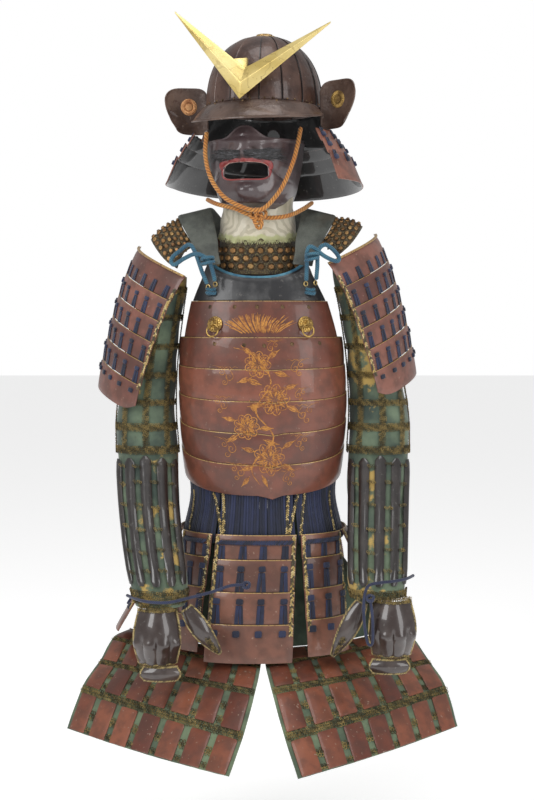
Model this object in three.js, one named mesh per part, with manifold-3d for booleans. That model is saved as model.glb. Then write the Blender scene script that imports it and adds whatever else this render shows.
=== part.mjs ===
// A samurai armour, worn and hollow: ridged helmet with its crest and neck guard, half mask, cuirass,
// shoulder guards, armoured sleeves with hand plates, hanging tassets and a pair of thigh guards.
// Millimetres, +Z up, the front towards -Y. The origin is the middle of the neck opening, level with the
// shoulder straps, where a wearer's shoulders carry the weight. The wearer's right is on the -X side.
import * as THREE from "three";
import { mergeVertices } from "three/addons/utils/BufferGeometryUtils.js";
import Module from "manifold-3d";

const wasm = await Module();
wasm.setup();

// Walls
const PLATE = 2.5; // iron and lacquered rawhide plates
const CLOTH = 2; // sleeves and thigh guards, with their lining
const PADDED = 5; // shoulder wings, sewn with small hexagon plates
const STEP = 2.5; // how far a lame's top edge stands over the lame above it

// Driving sizes
const NECK_SHIFT = -12; // the neck and shoulders lean a little to the wearer's right
const HELMET_YAW = -18; // degrees, the head looks to the wearer's right
const MASK_YAW = -12;
const SHOULDER_DROP = 13; // the left shoulder sits this far above the middle, the right as far below
const LACE_TOP = -528; // the waist lacing starts inside the cuirass
const TASSET_TOP = -622;

const DEG = Math.PI / 180;
const COLOURS = {
  iron: [0x4a3a36, 0.45, 0.6],
  black: [0x2e3033, 0.4, 0.3],
  russet: [0x9c4a36, 0.5, 0.1],
  gilt: [0xc9a33a, 0.35, 0.8],
  mask: [0x453b3e, 0.35, 0.3],
  lips: [0xa8332c, 0.5, 0],
  leather: [0x5b5a4c, 0.8, 0],
  hexagon: [0x4a3526, 0.8, 0],
  brocade: [0xd9d4ba, 0.6, 0],
  orange: [0xd07a1e, 0.8, 0],
  blue: [0x2c7ea6, 0.8, 0],
  navy: [0x1b2450, 0.85, 0],
  sleeve: [0x5e8468, 0.9, 0],
};
const finishes = {};
for (const [name, [color, roughness, metalness]] of Object.entries(COLOURS))
  finishes[name] = new THREE.MeshStandardMaterial({ name, color, roughness, metalness });

const armour = new THREE.Group();

function add(name, geometry, finish, parent = armour) {
  const mesh = new THREE.Mesh(geometry, finishes[finish]);
  mesh.name = name;
  parent.add(mesh);
  return mesh;
}

// ---- Helpers ------------------------------------------------------------------------------------

const mix = (a, b, t) => a + (b - a) * t;
const clamp = (x, low, high) => Math.min(high, Math.max(low, x));
const range = (n, from = 0, to = 1) => Array.from({ length: n + 1 }, (_, i) => mix(from, to, i / n));

// A table is a list of column names and rows in them. It is read smoothly at a value of its first column.
function table(columns, rows) {
  const key = (row) => row[0];
  const rising = key(rows[rows.length - 1]) > key(rows[0]);
  return (value) => {
    let i = 0;
    while (i < rows.length - 2 && (rising ? value > key(rows[i + 1]) : value < key(rows[i + 1]))) i += 1;
    const t = clamp((value - key(rows[i])) / (key(rows[i + 1]) - key(rows[i])), 0, 1);
    const last = rows.length - 1;
    const nearest = [rows[Math.max(i - 1, 0)], rows[i], rows[i + 1], rows[Math.min(i + 2, last)]];
    const read = {};
    columns.forEach((name, c) => {
      const [a, b, d, e] = nearest.map((row) => row[c]);
      read[name] = b + 0.5 * t * (d - a + t * (2 * a - 5 * b + 4 * d - e + t * (3 * (b - d) + e - a)));
    });
    return read;
  };
}

// A wall of even thickness over a surface. surface(u, v) is a point, relief(u, v) is how far the outer face
// stands off it, and the inner face lies thick behind it. us and vs are the values that the grid runs over.
// Seen from outside, u runs to the right and v runs down, or else flip is true. Where the surface closes on
// itself along u, closed is true and the last column is left out.
function wall({ surface, us, vs, thick, relief = () => 0, closed = false, flip = false }) {
  const columns = closed ? us.slice(0, -1) : us;
  const near = 1e-3;
  const outer = [];
  const inner = [];
  for (const u of columns)
    for (const v of vs) {
      const low = closed ? u - near : Math.max(u - near, Math.min(us[0], us.at(-1)));
      const high = closed ? u + near : Math.min(u + near, Math.max(us[0], us.at(-1)));
      const along = surface(high, v).sub(surface(low, v)).multiplyScalar(us.at(-1) > us[0] ? 1 : -1);
      const across = surface(u, Math.min(v + near, vs.at(-1))).sub(surface(u, Math.max(v - near, vs[0])));
      const normal = across.cross(along).normalize().multiplyScalar(flip ? -1 : 1);
      outer.push(surface(u, v).addScaledVector(normal, relief(u, v)));
      inner.push(surface(u, v).addScaledVector(normal, -thick));
    }
  const points = [...outer, ...inner];
  const [n, m] = [columns.length, vs.length];
  const index = [];
  const quad = (a, b, c, d) => index.push(a, b, c, a, c, d);
  const at = (i, j) => (i % n) * m + j;
  for (let i = 0; i < (closed ? n : n - 1); i++)
    for (let j = 0; j < m - 1; j++) {
      quad(at(i, j), at(i + 1, j), at(i + 1, j + 1), at(i, j + 1));
      quad(n * m + at(i, j + 1), n * m + at(i + 1, j + 1), n * m + at(i + 1, j), n * m + at(i, j));
    }
  for (let i = 0; i < (closed ? n : n - 1); i++) {
    quad(at(i + 1, 0), at(i, 0), n * m + at(i, 0), n * m + at(i + 1, 0));
    quad(at(i, m - 1), at(i + 1, m - 1), n * m + at(i + 1, m - 1), n * m + at(i, m - 1));
  }
  if (!closed)
    for (let j = 0; j < m - 1; j++) {
      quad(at(0, j), at(0, j + 1), n * m + at(0, j + 1), n * m + at(0, j));
      quad(at(n - 1, j + 1), at(n - 1, j), n * m + at(n - 1, j), n * m + at(n - 1, j + 1));
    }
  return facingOut(new THREE.BufferGeometry().setFromPoints(points).setIndex(index));
}

// Turns a closed mesh's faces outwards if they point in.
function facingOut(geometry) {
  const [p, index] = [geometry.attributes.position, geometry.index.array];
  const corner = (k) => new THREE.Vector3().fromBufferAttribute(p, index[k]);
  let volume = 0;
  for (let k = 0; k < index.length; k += 3) volume += corner(k).dot(corner(k + 1).cross(corner(k + 2)));
  if (volume > 0) return geometry;
  for (let k = 0; k < index.length; k += 3) [index[k], index[k + 1]] = [index[k + 1], index[k]];
  return geometry;
}

// A round cord through points, with a step about every two diameters.
function cord(points, radius, pitch = 14, sides = 8) {
  const path = new THREE.CatmullRomCurve3(points.map(([x, y, z]) => new THREE.Vector3(x, y, z)));
  const section = new THREE.Shape(
    range(sides, 0, 2 * Math.PI)
      .slice(0, -1)
      .map((a) => new THREE.Vector2(radius * Math.cos(a), radius * Math.sin(a))),
  );
  const steps = Math.round(path.getLength() / pitch);
  return new THREE.ExtrudeGeometry(section, { steps, extrudePath: path, bevelEnabled: false });
}

function solid(geometry) {
  const bare = geometry.clone();
  bare.deleteAttribute("normal");
  bare.deleteAttribute("uv");
  const merged = mergeVertices(bare, 1e-3);
  return new wasm.Manifold(
    new wasm.Mesh({
      numProp: 3,
      vertProperties: merged.attributes.position.array,
      triVerts: new Uint32Array(merged.index.array),
    }),
  );
}

function geometryOf(manifold) {
  const mesh = manifold.getMesh();
  return new THREE.BufferGeometry()
    .setAttribute("position", new THREE.BufferAttribute(mesh.vertProperties, 3))
    .setIndex(new THREE.BufferAttribute(mesh.triVerts, 1));
}

// Rows for a wall of overlapped lames: the two edges of each lame.
function lameRows(count) {
  const ledge = 0.006; // of the whole height, so that each step is a real face
  const rows = [];
  for (let k = 0; k < count; k++) rows.push(k / count + (k ? ledge : 0), (k + 1) / count);
  return rows;
}

// How far a stack of lames stands off its surface: each lame's top edge is a step proud, and its face
// comes back to the surface at its lower edge.
const lameRelief = (count, step) => (u, v) => {
  const within = v * count - Math.floor(v * count - 1e-9);
  return step * (1 - within);
};

// ---- The trunk: one egg-shaped section, from the neck down to the waist -------------------------

const trunk = table(["z", "shift", "halfWidth", "front", "back"], [
  [-40, NECK_SHIFT, 118, 70, 86],
  [-110, -10, 134, 84, 98],
  [-172, -7, 148, 104, 108],
  [-242, -4, 160, 121, 114],
  [-309, -2, 165, 130, 117],
  [-376, 0, 166, 133, 117],
  [-440, 0, 163, 131, 114],
  [-506, 0, 157, 126, 108],
  [-560, 0, 152, 119, 103],
  [-640, 0, 166, 132, 114],
]);

const squarer = (w) => Math.sign(w) * Math.pow(Math.abs(w), 0.87);

// A point of the trunk at an angle round it, from 0 at the front to 90 on the wearer's left.
function around(z, degrees, grow = 0) {
  const { shift, halfWidth, front, back } = trunk(z);
  const [s, c] = [Math.sin(degrees * DEG), Math.cos(degrees * DEG)];
  const depth = (c > 0 ? front : back) + grow;
  return new THREE.Vector3(shift + (halfWidth + grow) * squarer(s), -depth * squarer(c), z);
}

// ---- Cuirass: lacquered lames, a dark breast board on top, open arm holes and neck --------------

const CHEST_SEAM = -243;
const BOARD_SEAM = -173;
const SIDE_GAP = 0.4; // degrees, between the front and the back at each side
const boardTop = (degrees) => -130 + 26 * Math.min(1, Math.pow(Math.abs(degrees) / 40, 2));
const hemDip = (degrees) => 7 * Math.max(0, 1 - Math.abs(degrees - 5) / 7);
const chestHem = (degrees) => -548 + 38 * Math.pow(degrees / 90, 2) - hemDip(degrees);

add("breast_board", wall({
  surface: (u, v) => {
    const degrees = u * mix(45, 60, v);
    return around(mix(boardTop(u * 45), BOARD_SEAM + 0.4, v), degrees, -1);
  },
  us: range(14, -1, 1),
  vs: range(2),
  thick: PLATE,
}), "black");

add("chest_upper_lame", wall({
  surface: (u, v) => around(mix(BOARD_SEAM, CHEST_SEAM + 0.4, v), u * mix(60, 68, v), STEP * (1 - v)),
  us: range(14, -1, 1),
  vs: range(1),
  thick: PLATE,
}), "russet");

const CHEST_LAMES = 5;
add("chest_plate", wall({
  surface: (u, v) => around(mix(CHEST_SEAM, chestHem(u), v), u, 0),
  us: range(20, -90 + SIDE_GAP, 90 - SIDE_GAP),
  vs: lameRows(CHEST_LAMES),
  relief: lameRelief(CHEST_LAMES, STEP),
  thick: PLATE,
}), "russet");

add("back_board", wall({
  surface: (u, v) => around(mix(-52 + 10 * Math.abs(u), CHEST_SEAM + 0.4, v), 180 + u * mix(42, 64, v), 0),
  us: range(12, -1, 1),
  vs: lameRows(3),
  relief: lameRelief(3, STEP),
  thick: PLATE,
}), "russet");

add("back_plate", wall({
  surface: (u, v) => around(mix(CHEST_SEAM, -540 + 30 * Math.pow((u - 180) / 90, 2), v), u, 0),
  us: range(16, 90 + SIDE_GAP, 270 - SIDE_GAP),
  vs: lameRows(CHEST_LAMES),
  relief: lameRelief(CHEST_LAMES, STEP),
  thick: PLATE,
}), "russet");

// The blue leather that lines the neck edge of the breast board.
add("neck_lining", wall({
  surface: (u, v) => around(mix(boardTop(u) + 5, boardTop(u) - 14, v), u, -4.2),
  us: range(12, -44, 44),
  vs: range(1),
  thick: 1.5,
}), "blue");

// ---- Lacing that hangs the tassets from the cuirass, and the seven tassets ----------------------

add("waist_lacing", wall({
  surface: (u, v) => around(mix(LACE_TOP, TASSET_TOP - 12, v), u, mix(-8, -5, v)),
  us: range(32, -180, 180),
  vs: range(3),
  thick: PLATE,
  closed: true,
}), "navy");

// Each tasset follows the waist along its top edge and swings out and down from it.
const TASSET_LAMES = 4;
const TASSETS = [
  { name: "tasset_front", from: -30, to: 20, flare: 55, drop: 236, spread: 0.1, lean: -14 },
  { name: "tasset_front_right", from: -68, to: -33, flare: 42, drop: 225, spread: 0.02, lean: -2 },
  { name: "tasset_front_left", from: 23, to: 64, flare: 62, drop: 222, spread: 0.06, lean: -26 },
  { name: "tasset_side_right", from: -112, to: -71, flare: 134, drop: 205, spread: 0.1, lean: 0 },
  { name: "tasset_side_left", from: 67, to: 112, flare: 116, drop: 205, spread: 0.1, lean: 0 },
  { name: "tasset_back_right", from: -177, to: -115, flare: 88, drop: 215, spread: 0.2, lean: 0 },
  { name: "tasset_back_left", from: 115, to: 177, flare: 88, drop: 215, spread: 0.2, lean: 0 },
];

function tassetSurface({ from, to, flare, drop, spread, lean }) {
  const middle = (from + to) / 2;
  const centre = around(TASSET_TOP, middle);
  const tangent = around(TASSET_TOP, middle + 1).sub(around(TASSET_TOP, middle - 1)).normalize();
  const out = new THREE.Vector3(tangent.y, -tangent.x, 0);
  return (u, v) => {
    const top = around(TASSET_TOP, mix(from, to, u));
    const sideways = top.clone().sub(centre).multiplyScalar(spread * v).addScaledVector(tangent, lean * v);
    const point = top.add(sideways).addScaledVector(out, flare * v);
    point.z = TASSET_TOP - drop * v;
    return point;
  };
}

for (const tasset of TASSETS)
  add(tasset.name, wall({
    surface: tassetSurface(tasset),
    us: range(6),
    vs: lameRows(TASSET_LAMES),
    relief: lameRelief(TASSET_LAMES, STEP * 1.4),
    thick: PLATE,
  }), "russet");

// ---- Thigh guards: a belted apron top behind the tassets, and two panels laid over the thighs ---

const APRON_TOP = -575;
const APRON_HIP = -640;
const APRON_SHARE = 0.25; // of the rows, above the hips

// The top edge of a panel, from the fork (0) to the hip (1), where the apron is sewn to it.
const thighTop = (u) => new THREE.Vector3(5 + 268 * u, -100 + 140 * Math.pow(u, 2.2), -850 + 6 * u);

// It hangs straight from the waist to the hips, and widens from there to the panels.
add("thigh_apron", wall({
  surface: (u, v) => {
    const turn = u * 92 * DEG;
    const hip = new THREE.Vector3(132 * Math.sin(turn), -96 * Math.cos(turn), APRON_HIP);
    if (v < APRON_SHARE) return hip.setZ(mix(APRON_TOP, APRON_HIP, v / APRON_SHARE));
    const hem = thighTop(Math.abs(u)).add(new THREE.Vector3(-5, 0, CLOTH + 0.6));
    hem.x *= Math.sign(u);
    return hip.lerp(hem, (v - APRON_SHARE) / (1 - APRON_SHARE));
  },
  us: range(20, -1, 1),
  vs: [0, APRON_SHARE, 0.55, 1],
  thick: CLOTH,
}), "sleeve");

// The inner and outer edge of each panel below its top, down to the hem.
const thighEdges = {
  right: table(["v", "innerX", "innerY", "innerZ", "outerX", "outerY", "outerZ"], [
    [0, -5, -100, -850, -273, 40, -844],
    [0.25, -4, -160, -866, -304, 12, -854],
    [0.5, -13, -240, -890, -324, -45, -886],
    [0.75, -33, -325, -944, -350, -105, -920],
    [1, -58, -400, -996, -374, -160, -988],
  ]),
  left: table(["v", "innerX", "innerY", "innerZ", "outerX", "outerY", "outerZ"], [
    [0, 5, -100, -850, 273, 40, -844],
    [0.25, 5, -160, -864, 302, 12, -852],
    [0.5, 16, -240, -888, 330, -45, -886],
    [0.75, 38, -325, -946, 356, -105, -922],
    [1, 62, -400, -1000, 372, -160, -984],
  ]),
};
const THIGH_PLATES = { rows: 4, across: 7, rise: 2.2 };

function thighSurface(side) {
  return (u, v) => {
    const e = thighEdges[side](v);
    const bulge = 4 * u * (1 - u) * v;
    const point = new THREE.Vector3(
      mix(e.innerX, e.outerX, u),
      mix(e.innerY, e.outerY, u) - 12 * bulge,
      mix(e.innerZ, e.outerZ, u) + 12 * bulge * (1 - v),
    );
    const top = thighTop(u);
    point.y += (top.y - mix(-100, 40, u)) * (1 - v) * (1 - v);
    return point;
  };
}

// Plates stand as raised blocks on their cloth, with a valley halfway between each two.
function plateEdges(count, plateShare) {
  const stops = [0];
  for (let k = 0; k < count; k++)
    stops.push((k + (1 - plateShare) / 2) / count, (k + (1 + plateShare) / 2) / count, (k + 1) / count);
  return stops;
}

const onPlate = (x, count) => (Math.abs(x * count - Math.round(x * count)) < 0.01 ? 0 : 1);

for (const side of ["right", "left"])
  add("thigh_panel_" + side, wall({
    surface: thighSurface(side),
    us: plateEdges(THIGH_PLATES.across, 0.72),
    vs: plateEdges(THIGH_PLATES.rows, 0.78),
    relief: (u, v) => THIGH_PLATES.rise * onPlate(u, THIGH_PLATES.across) * onPlate(v, THIGH_PLATES.rows),
    thick: CLOTH,
    flip: side === "right",
  }), "sleeve");

// ---- Armoured sleeves: cloth tubes down to the wrist, and the three plates of each hand ---------

const sleeveTable = table(["z", "xRight", "xLeft", "y", "halfWidth", "halfDepth"], [
  [-100, -184, 172, 4, 36, 46],
  [-190, -208, 202, 4, 48, 52],
  [-290, -224, 220, 2, 52, 55],
  [-390, -233, 231, -4, 58, 57],
  [-470, -229, 229, -25, 61, 55],
  [-550, -222, 224, -76, 59, 53],
  [-630, -209, 218, -138, 57, 50],
  [-700, -195, 214, -190, 54, 45],
  [-746, -190, 216, -214, 46, 34],
]);
const CUFF = { right: -738, left: -722 };
const SPLINTS = { count: 5, top: -478, hem: -704, round: 1.35, rise: 2.6, off: 4.6 };
const splintRows = range(4, SPLINTS.top, SPLINTS.hem);
const SIDES = [
  { side: "right", sign: -1, x: "xRight" },
  { side: "left", sign: 1, x: "xLeft" },
];

function sleevePoint(x, u, z, grow = 0) {
  const row = sleeveTable(z);
  return new THREE.Vector3(
    row[x] + (row.halfWidth + grow) * Math.sin(u),
    row.y - (row.halfDepth + grow) * Math.cos(u),
    z,
  );
}

for (const { side, sign, x } of SIDES) {
  const lengths = {
    sleeve_: [-112 + sign * SHOULDER_DROP, -190, -270, -340, -410, SPLINTS.top + 0.4],
    forearm_sleeve_: [...splintRows, CUFF[side]],
  };
  for (const [name, rows] of Object.entries(lengths))
    add(name + side, wall({
      surface: (u, v) => sleevePoint(x, u, -v),
      us: range(18, 0, 2 * Math.PI),
      vs: rows.map((z) => -z),
      thick: CLOTH,
      closed: true,
    }), "sleeve");

  // the long forearm splints with the mail that joins them, laid round the front of the sleeve
  add("forearm_splints_" + side, wall({
    surface: (u, v) => sleevePoint(x, SPLINTS.round * (2 * u - 1), -v, SPLINTS.off),
    us: plateEdges(SPLINTS.count, 0.8),
    vs: splintRows.map((z) => -z),
    relief: (u) => SPLINTS.rise * onPlate(u, SPLINTS.count),
    thick: CLOTH,
  }), "mask");
}

// The back of the hand, the finger ends and the thumb: domed plates below the cuff.
const HANDS = {
  right: {
    palm: [-194, -244, -742],
    fingers: [-188, -249, -846],
    thumb: [[-141, -236, -741], [-80, -230, -826]],
  },
  left: {
    palm: [238, -244, -726],
    fingers: [233, -249, -832],
    thumb: [[183, -236, -730], [130, -230, -830]],
  },
};

function domedPlate([x, y, z], width, height, dome, curl) {
  return wall({
    surface: (u, v) => {
      const w = width * mix(0.8, 1, Math.sin(Math.PI * clamp(v, 0.05, 0.95)));
      return new THREE.Vector3(
        x + w * (u - 0.5),
        y - dome * Math.sin(Math.PI * mix(0.12, 0.88, v)) + 4 * curl * Math.pow(u - 0.5, 2) * dome,
        z - height * v,
      );
    },
    us: range(6),
    vs: range(4),
    thick: 1.8,
  });
}

function thumbPlate([start, end]) {
  const [a, b] = [new THREE.Vector3(...start), new THREE.Vector3(...end)];
  const along = b.clone().sub(a).normalize();
  const across = new THREE.Vector3(0, -1, 0).cross(along).normalize();
  return wall({
    surface: (u, v) => {
      const w = 36 * Math.pow(Math.sin(Math.PI * mix(0.14, 0.94, v)), 0.7) * mix(1.1, 0.75, v);
      return a
        .clone()
        .lerp(b, v)
        .addScaledVector(across, w * (u - 0.5))
        .add(new THREE.Vector3(0, -12 * Math.sin(Math.PI * v) + 30 * Math.pow(u - 0.5, 2), 0));
    },
    us: range(4),
    vs: range(6),
    thick: 1.8,
  });
}

for (const [side, hand] of Object.entries(HANDS)) {
  add("hand_plate_" + side, domedPlate(hand.palm, 86, 100, 26, 0.9), "mask");
  add("finger_plate_" + side, domedPlate(hand.fingers, 74, 26, 9, 1), "mask");
  add("thumb_plate_" + side, thumbPlate(hand.thumb), "mask");
}

// ---- Shoulder guards: six laced lames each, bowed round the arm ---------------------------------

const GUARD_LAMES = 6;
const GUARD = {
  // corners on the wearer's left, measured from the middle of the shoulders
  topBack: [241, 120, -46], topFront: [136, -84, -114], hemFront: [241, -78, -380], hemBack: [326, 130, -325],
  bow: 36, // across, round the arm
  swell: 13, // down, over the shoulder
};

function guardSurface(sign) {
  const corner = ([x, y, z]) => new THREE.Vector3(NECK_SHIFT + sign * x, y, z + sign * SHOULDER_DROP);
  const [tb, tf, hf, hb] = [GUARD.topBack, GUARD.topFront, GUARD.hemFront, GUARD.hemBack].map(corner);
  const down = hf.clone().add(hb).sub(tf).sub(tb);
  const out = tf.clone().sub(tb).cross(down).normalize().multiplyScalar(sign);
  return (u, v) => {
    const point = tb.clone().lerp(tf, u).lerp(hb.clone().lerp(hf, u), v);
    const bow = GUARD.bow * 4 * u * (1 - u);
    const swell = GUARD.swell * Math.sin(Math.PI * Math.pow(v, 0.7));
    return point.addScaledVector(out, bow + swell);
  };
}

for (const { side, sign } of SIDES)
  add("shoulder_guard_" + side, wall({
    surface: guardSurface(sign),
    us: range(8),
    vs: lameRows(GUARD_LAMES),
    relief: lameRelief(GUARD_LAMES, STEP),
    thick: PLATE,
    flip: sign > 0,
  }), "russet");

// ---- Shoulder straps over the shoulders, wings outside them, and the blue cords -----------------

const strap = table(["v", "x", "y", "z", "width", "tilt"], [
  [0, 84, 104, -70, 58, 0],
  [0.2, 98, 76, -20, 62, 6],
  [0.4, 116, 34, 2, 66, 8],
  [0.55, 124, -6, 4, 66, 8],
  [0.72, 114, -46, -22, 58, 8],
  [0.87, 98, -78, -64, 46, 5],
  [1, 88, -98, -104, 26, 2],
]);

function strapPoint(sign, u, v) {
  const { x, y, z, width, tilt } = strap(v);
  return new THREE.Vector3(NECK_SHIFT + sign * (x + width * (u - 0.5)), y, z - tilt * (u - 0.5) * 2);
}

// The wing's inner edge follows the strap, and its outer edge is half round and droops.
function wingPoint(sign, u, v) {
  const reach = 50 * Math.sqrt(Math.max(0, 1 - u * u)) + 8;
  return new THREE.Vector3(
    NECK_SHIFT + sign * (152 + reach * v - 10 * u * u),
    -2 - 62 * u,
    -12 - 58 * u * u - 26 * v * v + sign * SHOULDER_DROP * v,
  );
}

for (const { side, sign } of SIDES) {
  add("shoulder_strap_" + side, wall({
    surface: (u, v) => strapPoint(sign, u, v),
    us: range(2),
    vs: range(10),
    thick: 3,
    flip: sign < 0,
  }), "leather");
  add("shoulder_wing_" + side, wall({
    surface: (u, v) => wingPoint(sign, u, v),
    us: range(8, -0.97, 0.97),
    vs: range(3),
    thick: PADDED,
    flip: sign > 0,
  }), "hexagon");
}

const BLUE_RADIUS = 3.4;
const TIES = {
  right: [[-106, -106, -142], [-116, -108, -118], [-128, -104, -84], [-140, -98, -66], [-158, -88, -76],
    [-176, -84, -92], [-171, -88, -104], [-150, -98, -92], [-126, -109, -84], [-104, -110, -96],
    [-94, -107, -124], [-92, -106, -137]],
  left: [[102, -103, -134], [104, -107, -110], [106, -104, -78], [120, -96, -66], [138, -88, -78],
    [147, -86, -92], [140, -92, -97], [118, -102, -88], [92, -110, -70], [84, -109, -82],
    [84, -107, -108], [83, -104, -136]],
};
for (const [side, points] of Object.entries(TIES))
  add("shoulder_cord_" + side, cord(points, BLUE_RADIUS, 8), "blue");

// ---- Two rosettes on the breast, each with a ring that swings -----------------------------------

const ROSETTE = { z: -218, degrees: 30, turn: 24, radius: 16, high: 4 };
const RING = { radius: 12, wire: 1.5 };
const EYE = { hole: 3.6, rim: 6, thick: 2.4, out: 8 };

for (const { side, sign } of SIDES) {
  // each stands square to the breast, which leans out as it goes down
  const lean = Math.atan2(trunk(ROSETTE.z - 20).front - trunk(ROSETTE.z + 20).front, 40);
  const place = new THREE.Group();
  place.position.copy(around(ROSETTE.z, sign * ROSETTE.degrees, 2.6));
  place.rotation.set(-lean, 0, sign * ROSETTE.turn * DEG, "ZXY");
  armour.add(place);

  const { radius, high } = ROSETTE;
  const profile = [[0, 0], [radius, 0], [radius * 0.8, high * 0.75], [0, high + 0.6]];
  const boss = new THREE.LatheGeometry(profile.map(([r, h]) => new THREE.Vector2(r, h)), 16);
  boss.rotateX(Math.PI);
  const plate = new THREE.Shape();
  plate.absarc(0, 0, EYE.rim, 0, 2 * Math.PI);
  plate.holes.push(new THREE.Path().absarc(0, 0, EYE.hole, 0, 2 * Math.PI));
  const eye = new THREE.ExtrudeGeometry(plate, { depth: EYE.thick, bevelEnabled: false, curveSegments: 7 });
  eye.translate(0, 0, -EYE.thick / 2);
  eye.rotateY(Math.PI / 2);
  eye.translate(0, -EYE.out, 0);
  add("rosette_" + side, geometryOf(solid(boss).add(solid(eye))), "gilt", place);

  // the ring passes through the eye and rests on the lower side of its hole
  const ring = new THREE.TorusGeometry(RING.radius, RING.wire, 6, 20);
  ring.rotateX(Math.PI / 2);
  ring.translate(0, -EYE.out, RING.wire + 0.3 - EYE.hole - RING.radius);
  add("breast_ring_" + side, ring, "gilt", place);
}

// ---- Throat: the brocade-covered neck piece under the mask, and its hexagon-sewn lower part -----

function throatPoint(u, z, grow = 0) {
  const open = mix(0, 1, clamp((10 - z) / 130, 0, 1));
  return new THREE.Vector3(
    -10 + (mix(66, 84, open) + grow) * squarer(Math.sin(u * DEG)),
    -(mix(66, 76, open) + grow) * squarer(Math.cos(u * DEG)) + 2,
    z,
  );
}

add("throat_guard", wall({
  surface: (u, v) => throatPoint(u, mix(-20, -122 + 16 * Math.pow(u / 100, 2), v)),
  us: range(14, -105, 105),
  vs: range(2),
  thick: 3,
}), "hexagon");

add("throat_cover", wall({
  surface: (u, v) => {
    const side = Math.pow(Math.abs(u) / 112, 2);
    return throatPoint(u, mix(-8 + 50 * side * (u > 0 ? 1 : 0.35), -56 + 24 * side, v), 2.8);
  },
  us: range(16, -112, 112),
  vs: range(2),
  thick: CLOTH,
}), "brocade");

// ---- Mask: cheeks, nose and chin, with the mouth open -------------------------------------------

const mask = new THREE.Group();
mask.position.set(-12, 0, 0);
mask.rotation.z = MASK_YAW * DEG;
armour.add(mask);

const maskSection = table(["z", "halfWidth", "depth", "nose", "cheek"], [
  [6, 54, 84, 0, 0],
  [16, 63, 102, 4, 0],
  [34, 71, 106, 9, 0],
  [54, 77, 104, 7, 2],
  [74, 81, 104, 5, 5],
  [92, 84, 106, 9, 7],
  [106, 86, 107, 24, 8],
  [122, 88, 105, 26, 8],
  [140, 88, 102, 17, 3],
  [160, 88, 98, 9, 0],
]);
const maskTop = (u) => 134 + 25 * Math.exp(-Math.pow(u / 17, 2)) + 10 * Math.pow(Math.abs(u) / 95, 3);

function maskPoint(u, z, grow = 0) {
  const { halfWidth, depth, nose, cheek } = maskSection(z);
  const cheeks = cheek * Math.exp(-Math.pow((Math.abs(u) - 42) / 16, 2));
  const bump = nose * Math.exp(-Math.pow(u / 13, 2)) + cheeks;
  return new THREE.Vector3(
    (halfWidth + grow) * squarer(Math.sin(u * DEG)),
    -(depth + grow) * squarer(Math.cos(u * DEG)) - bump * Math.cos(u * DEG),
    z,
  );
}

const MOUTH = { low: 58, high: 90, half: 44, corner: 13 };
function slot(half, low, high, corner) {
  const shape = new THREE.Shape();
  shape.moveTo(-half + corner, low);
  shape.lineTo(half - corner, low);
  shape.absarc(half - corner, low + corner, corner, -Math.PI / 2, 0);
  shape.lineTo(half, high - corner);
  shape.absarc(half - corner, high - corner, corner, 0, Math.PI / 2);
  shape.lineTo(-half + corner, high);
  shape.absarc(-half + corner, high - corner, corner, Math.PI / 2, Math.PI);
  shape.lineTo(-half, low + corner);
  shape.absarc(-half + corner, low + corner, corner, Math.PI, 1.5 * Math.PI);
  return shape;
}

const face = wall({
  surface: (u, v) => maskPoint(u, mix(6, maskTop(u), v)),
  us: range(20, -1, 1).map((t) => 60 * t + 36 * t * t * t),
  vs: range(10),
  thick: PLATE,
  flip: true,
});
const mouth = new THREE.ExtrudeGeometry(slot(MOUTH.half, MOUTH.low, MOUTH.high, MOUTH.corner), {
  depth: 120,
  bevelEnabled: false,
  curveSegments: 3,
});
mouth.rotateX(Math.PI / 2);
mouth.translate(0, -30, 0);
add("mask", geometryOf(solid(face).subtract(solid(mouth))), "mask", mask);

// the red lip round the mouth, laid on the mask
function lipPoint(turn, out) {
  const [x, z] = [Math.cos(turn), Math.sin(turn)];
  const round = Math.pow(Math.pow(Math.abs(x), 4) + Math.pow(Math.abs(z), 4), -0.25);
  const across = (MOUTH.half + out) * x * round;
  const height = (MOUTH.low + MOUTH.high) / 2 + ((MOUTH.high - MOUTH.low) / 2 + out) * z * round;
  const { halfWidth } = maskSection(height);
  const share = Math.pow(Math.min(1, Math.abs(across) / halfWidth), 1 / 0.87);
  return maskPoint((Math.sign(across) * Math.asin(share)) / DEG, height, 4);
}
add("mask_lips", wall({
  surface: (u, v) => lipPoint(u, mix(1.5, 6.5, v)),
  us: range(20, 0, 2 * Math.PI),
  vs: range(1),
  relief: () => 2,
  thick: 0.6,
  closed: true,
}), "lips", mask);

// ---- Helmet: ribbed bowl, crown ring, brim, turned-back ears, four-lame neck guard and the crest 

const helmet = new THREE.Group();
helmet.position.set(3, 10, 204);
helmet.rotation.z = HELMET_YAW * DEG;
armour.add(helmet);

const BOWL = { halfWidth: 113, halfLength: 126, high: 142 };
function bowlPoint(turn, rise, grow = 0) {
  const level = Math.sin(rise * 90 * DEG);
  const reach = Math.pow(Math.max(0, 1 - Math.pow(level, 2.3)), 1 / 2.3);
  return new THREE.Vector3(
    (BOWL.halfWidth + grow) * reach * Math.sin(turn * DEG),
    -(BOWL.halfLength + grow) * reach * Math.cos(turn * DEG),
    (BOWL.high + grow) * level,
  );
}
add("helmet_bowl", wall({
  surface: (u, v) => bowlPoint(u, mix(0, 0.93, v)),
  us: range(28, 0, 360),
  vs: range(7),
  thick: PLATE,
  closed: true,
  flip: true,
}), "iron", helmet);

const crownProfile = [[14, 0], [20, 0], [27, -1.2], [28, 1], [21, 6], [15, 6], [14, 0]];
const crown = new THREE.LatheGeometry(crownProfile.map(([r, h]) => new THREE.Vector2(r, h)), 20);
crown.rotateX(Math.PI / 2);
crown.translate(0, 0, BOWL.high + 0.3);
add("crown_ring", crown, "gilt", helmet);

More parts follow.
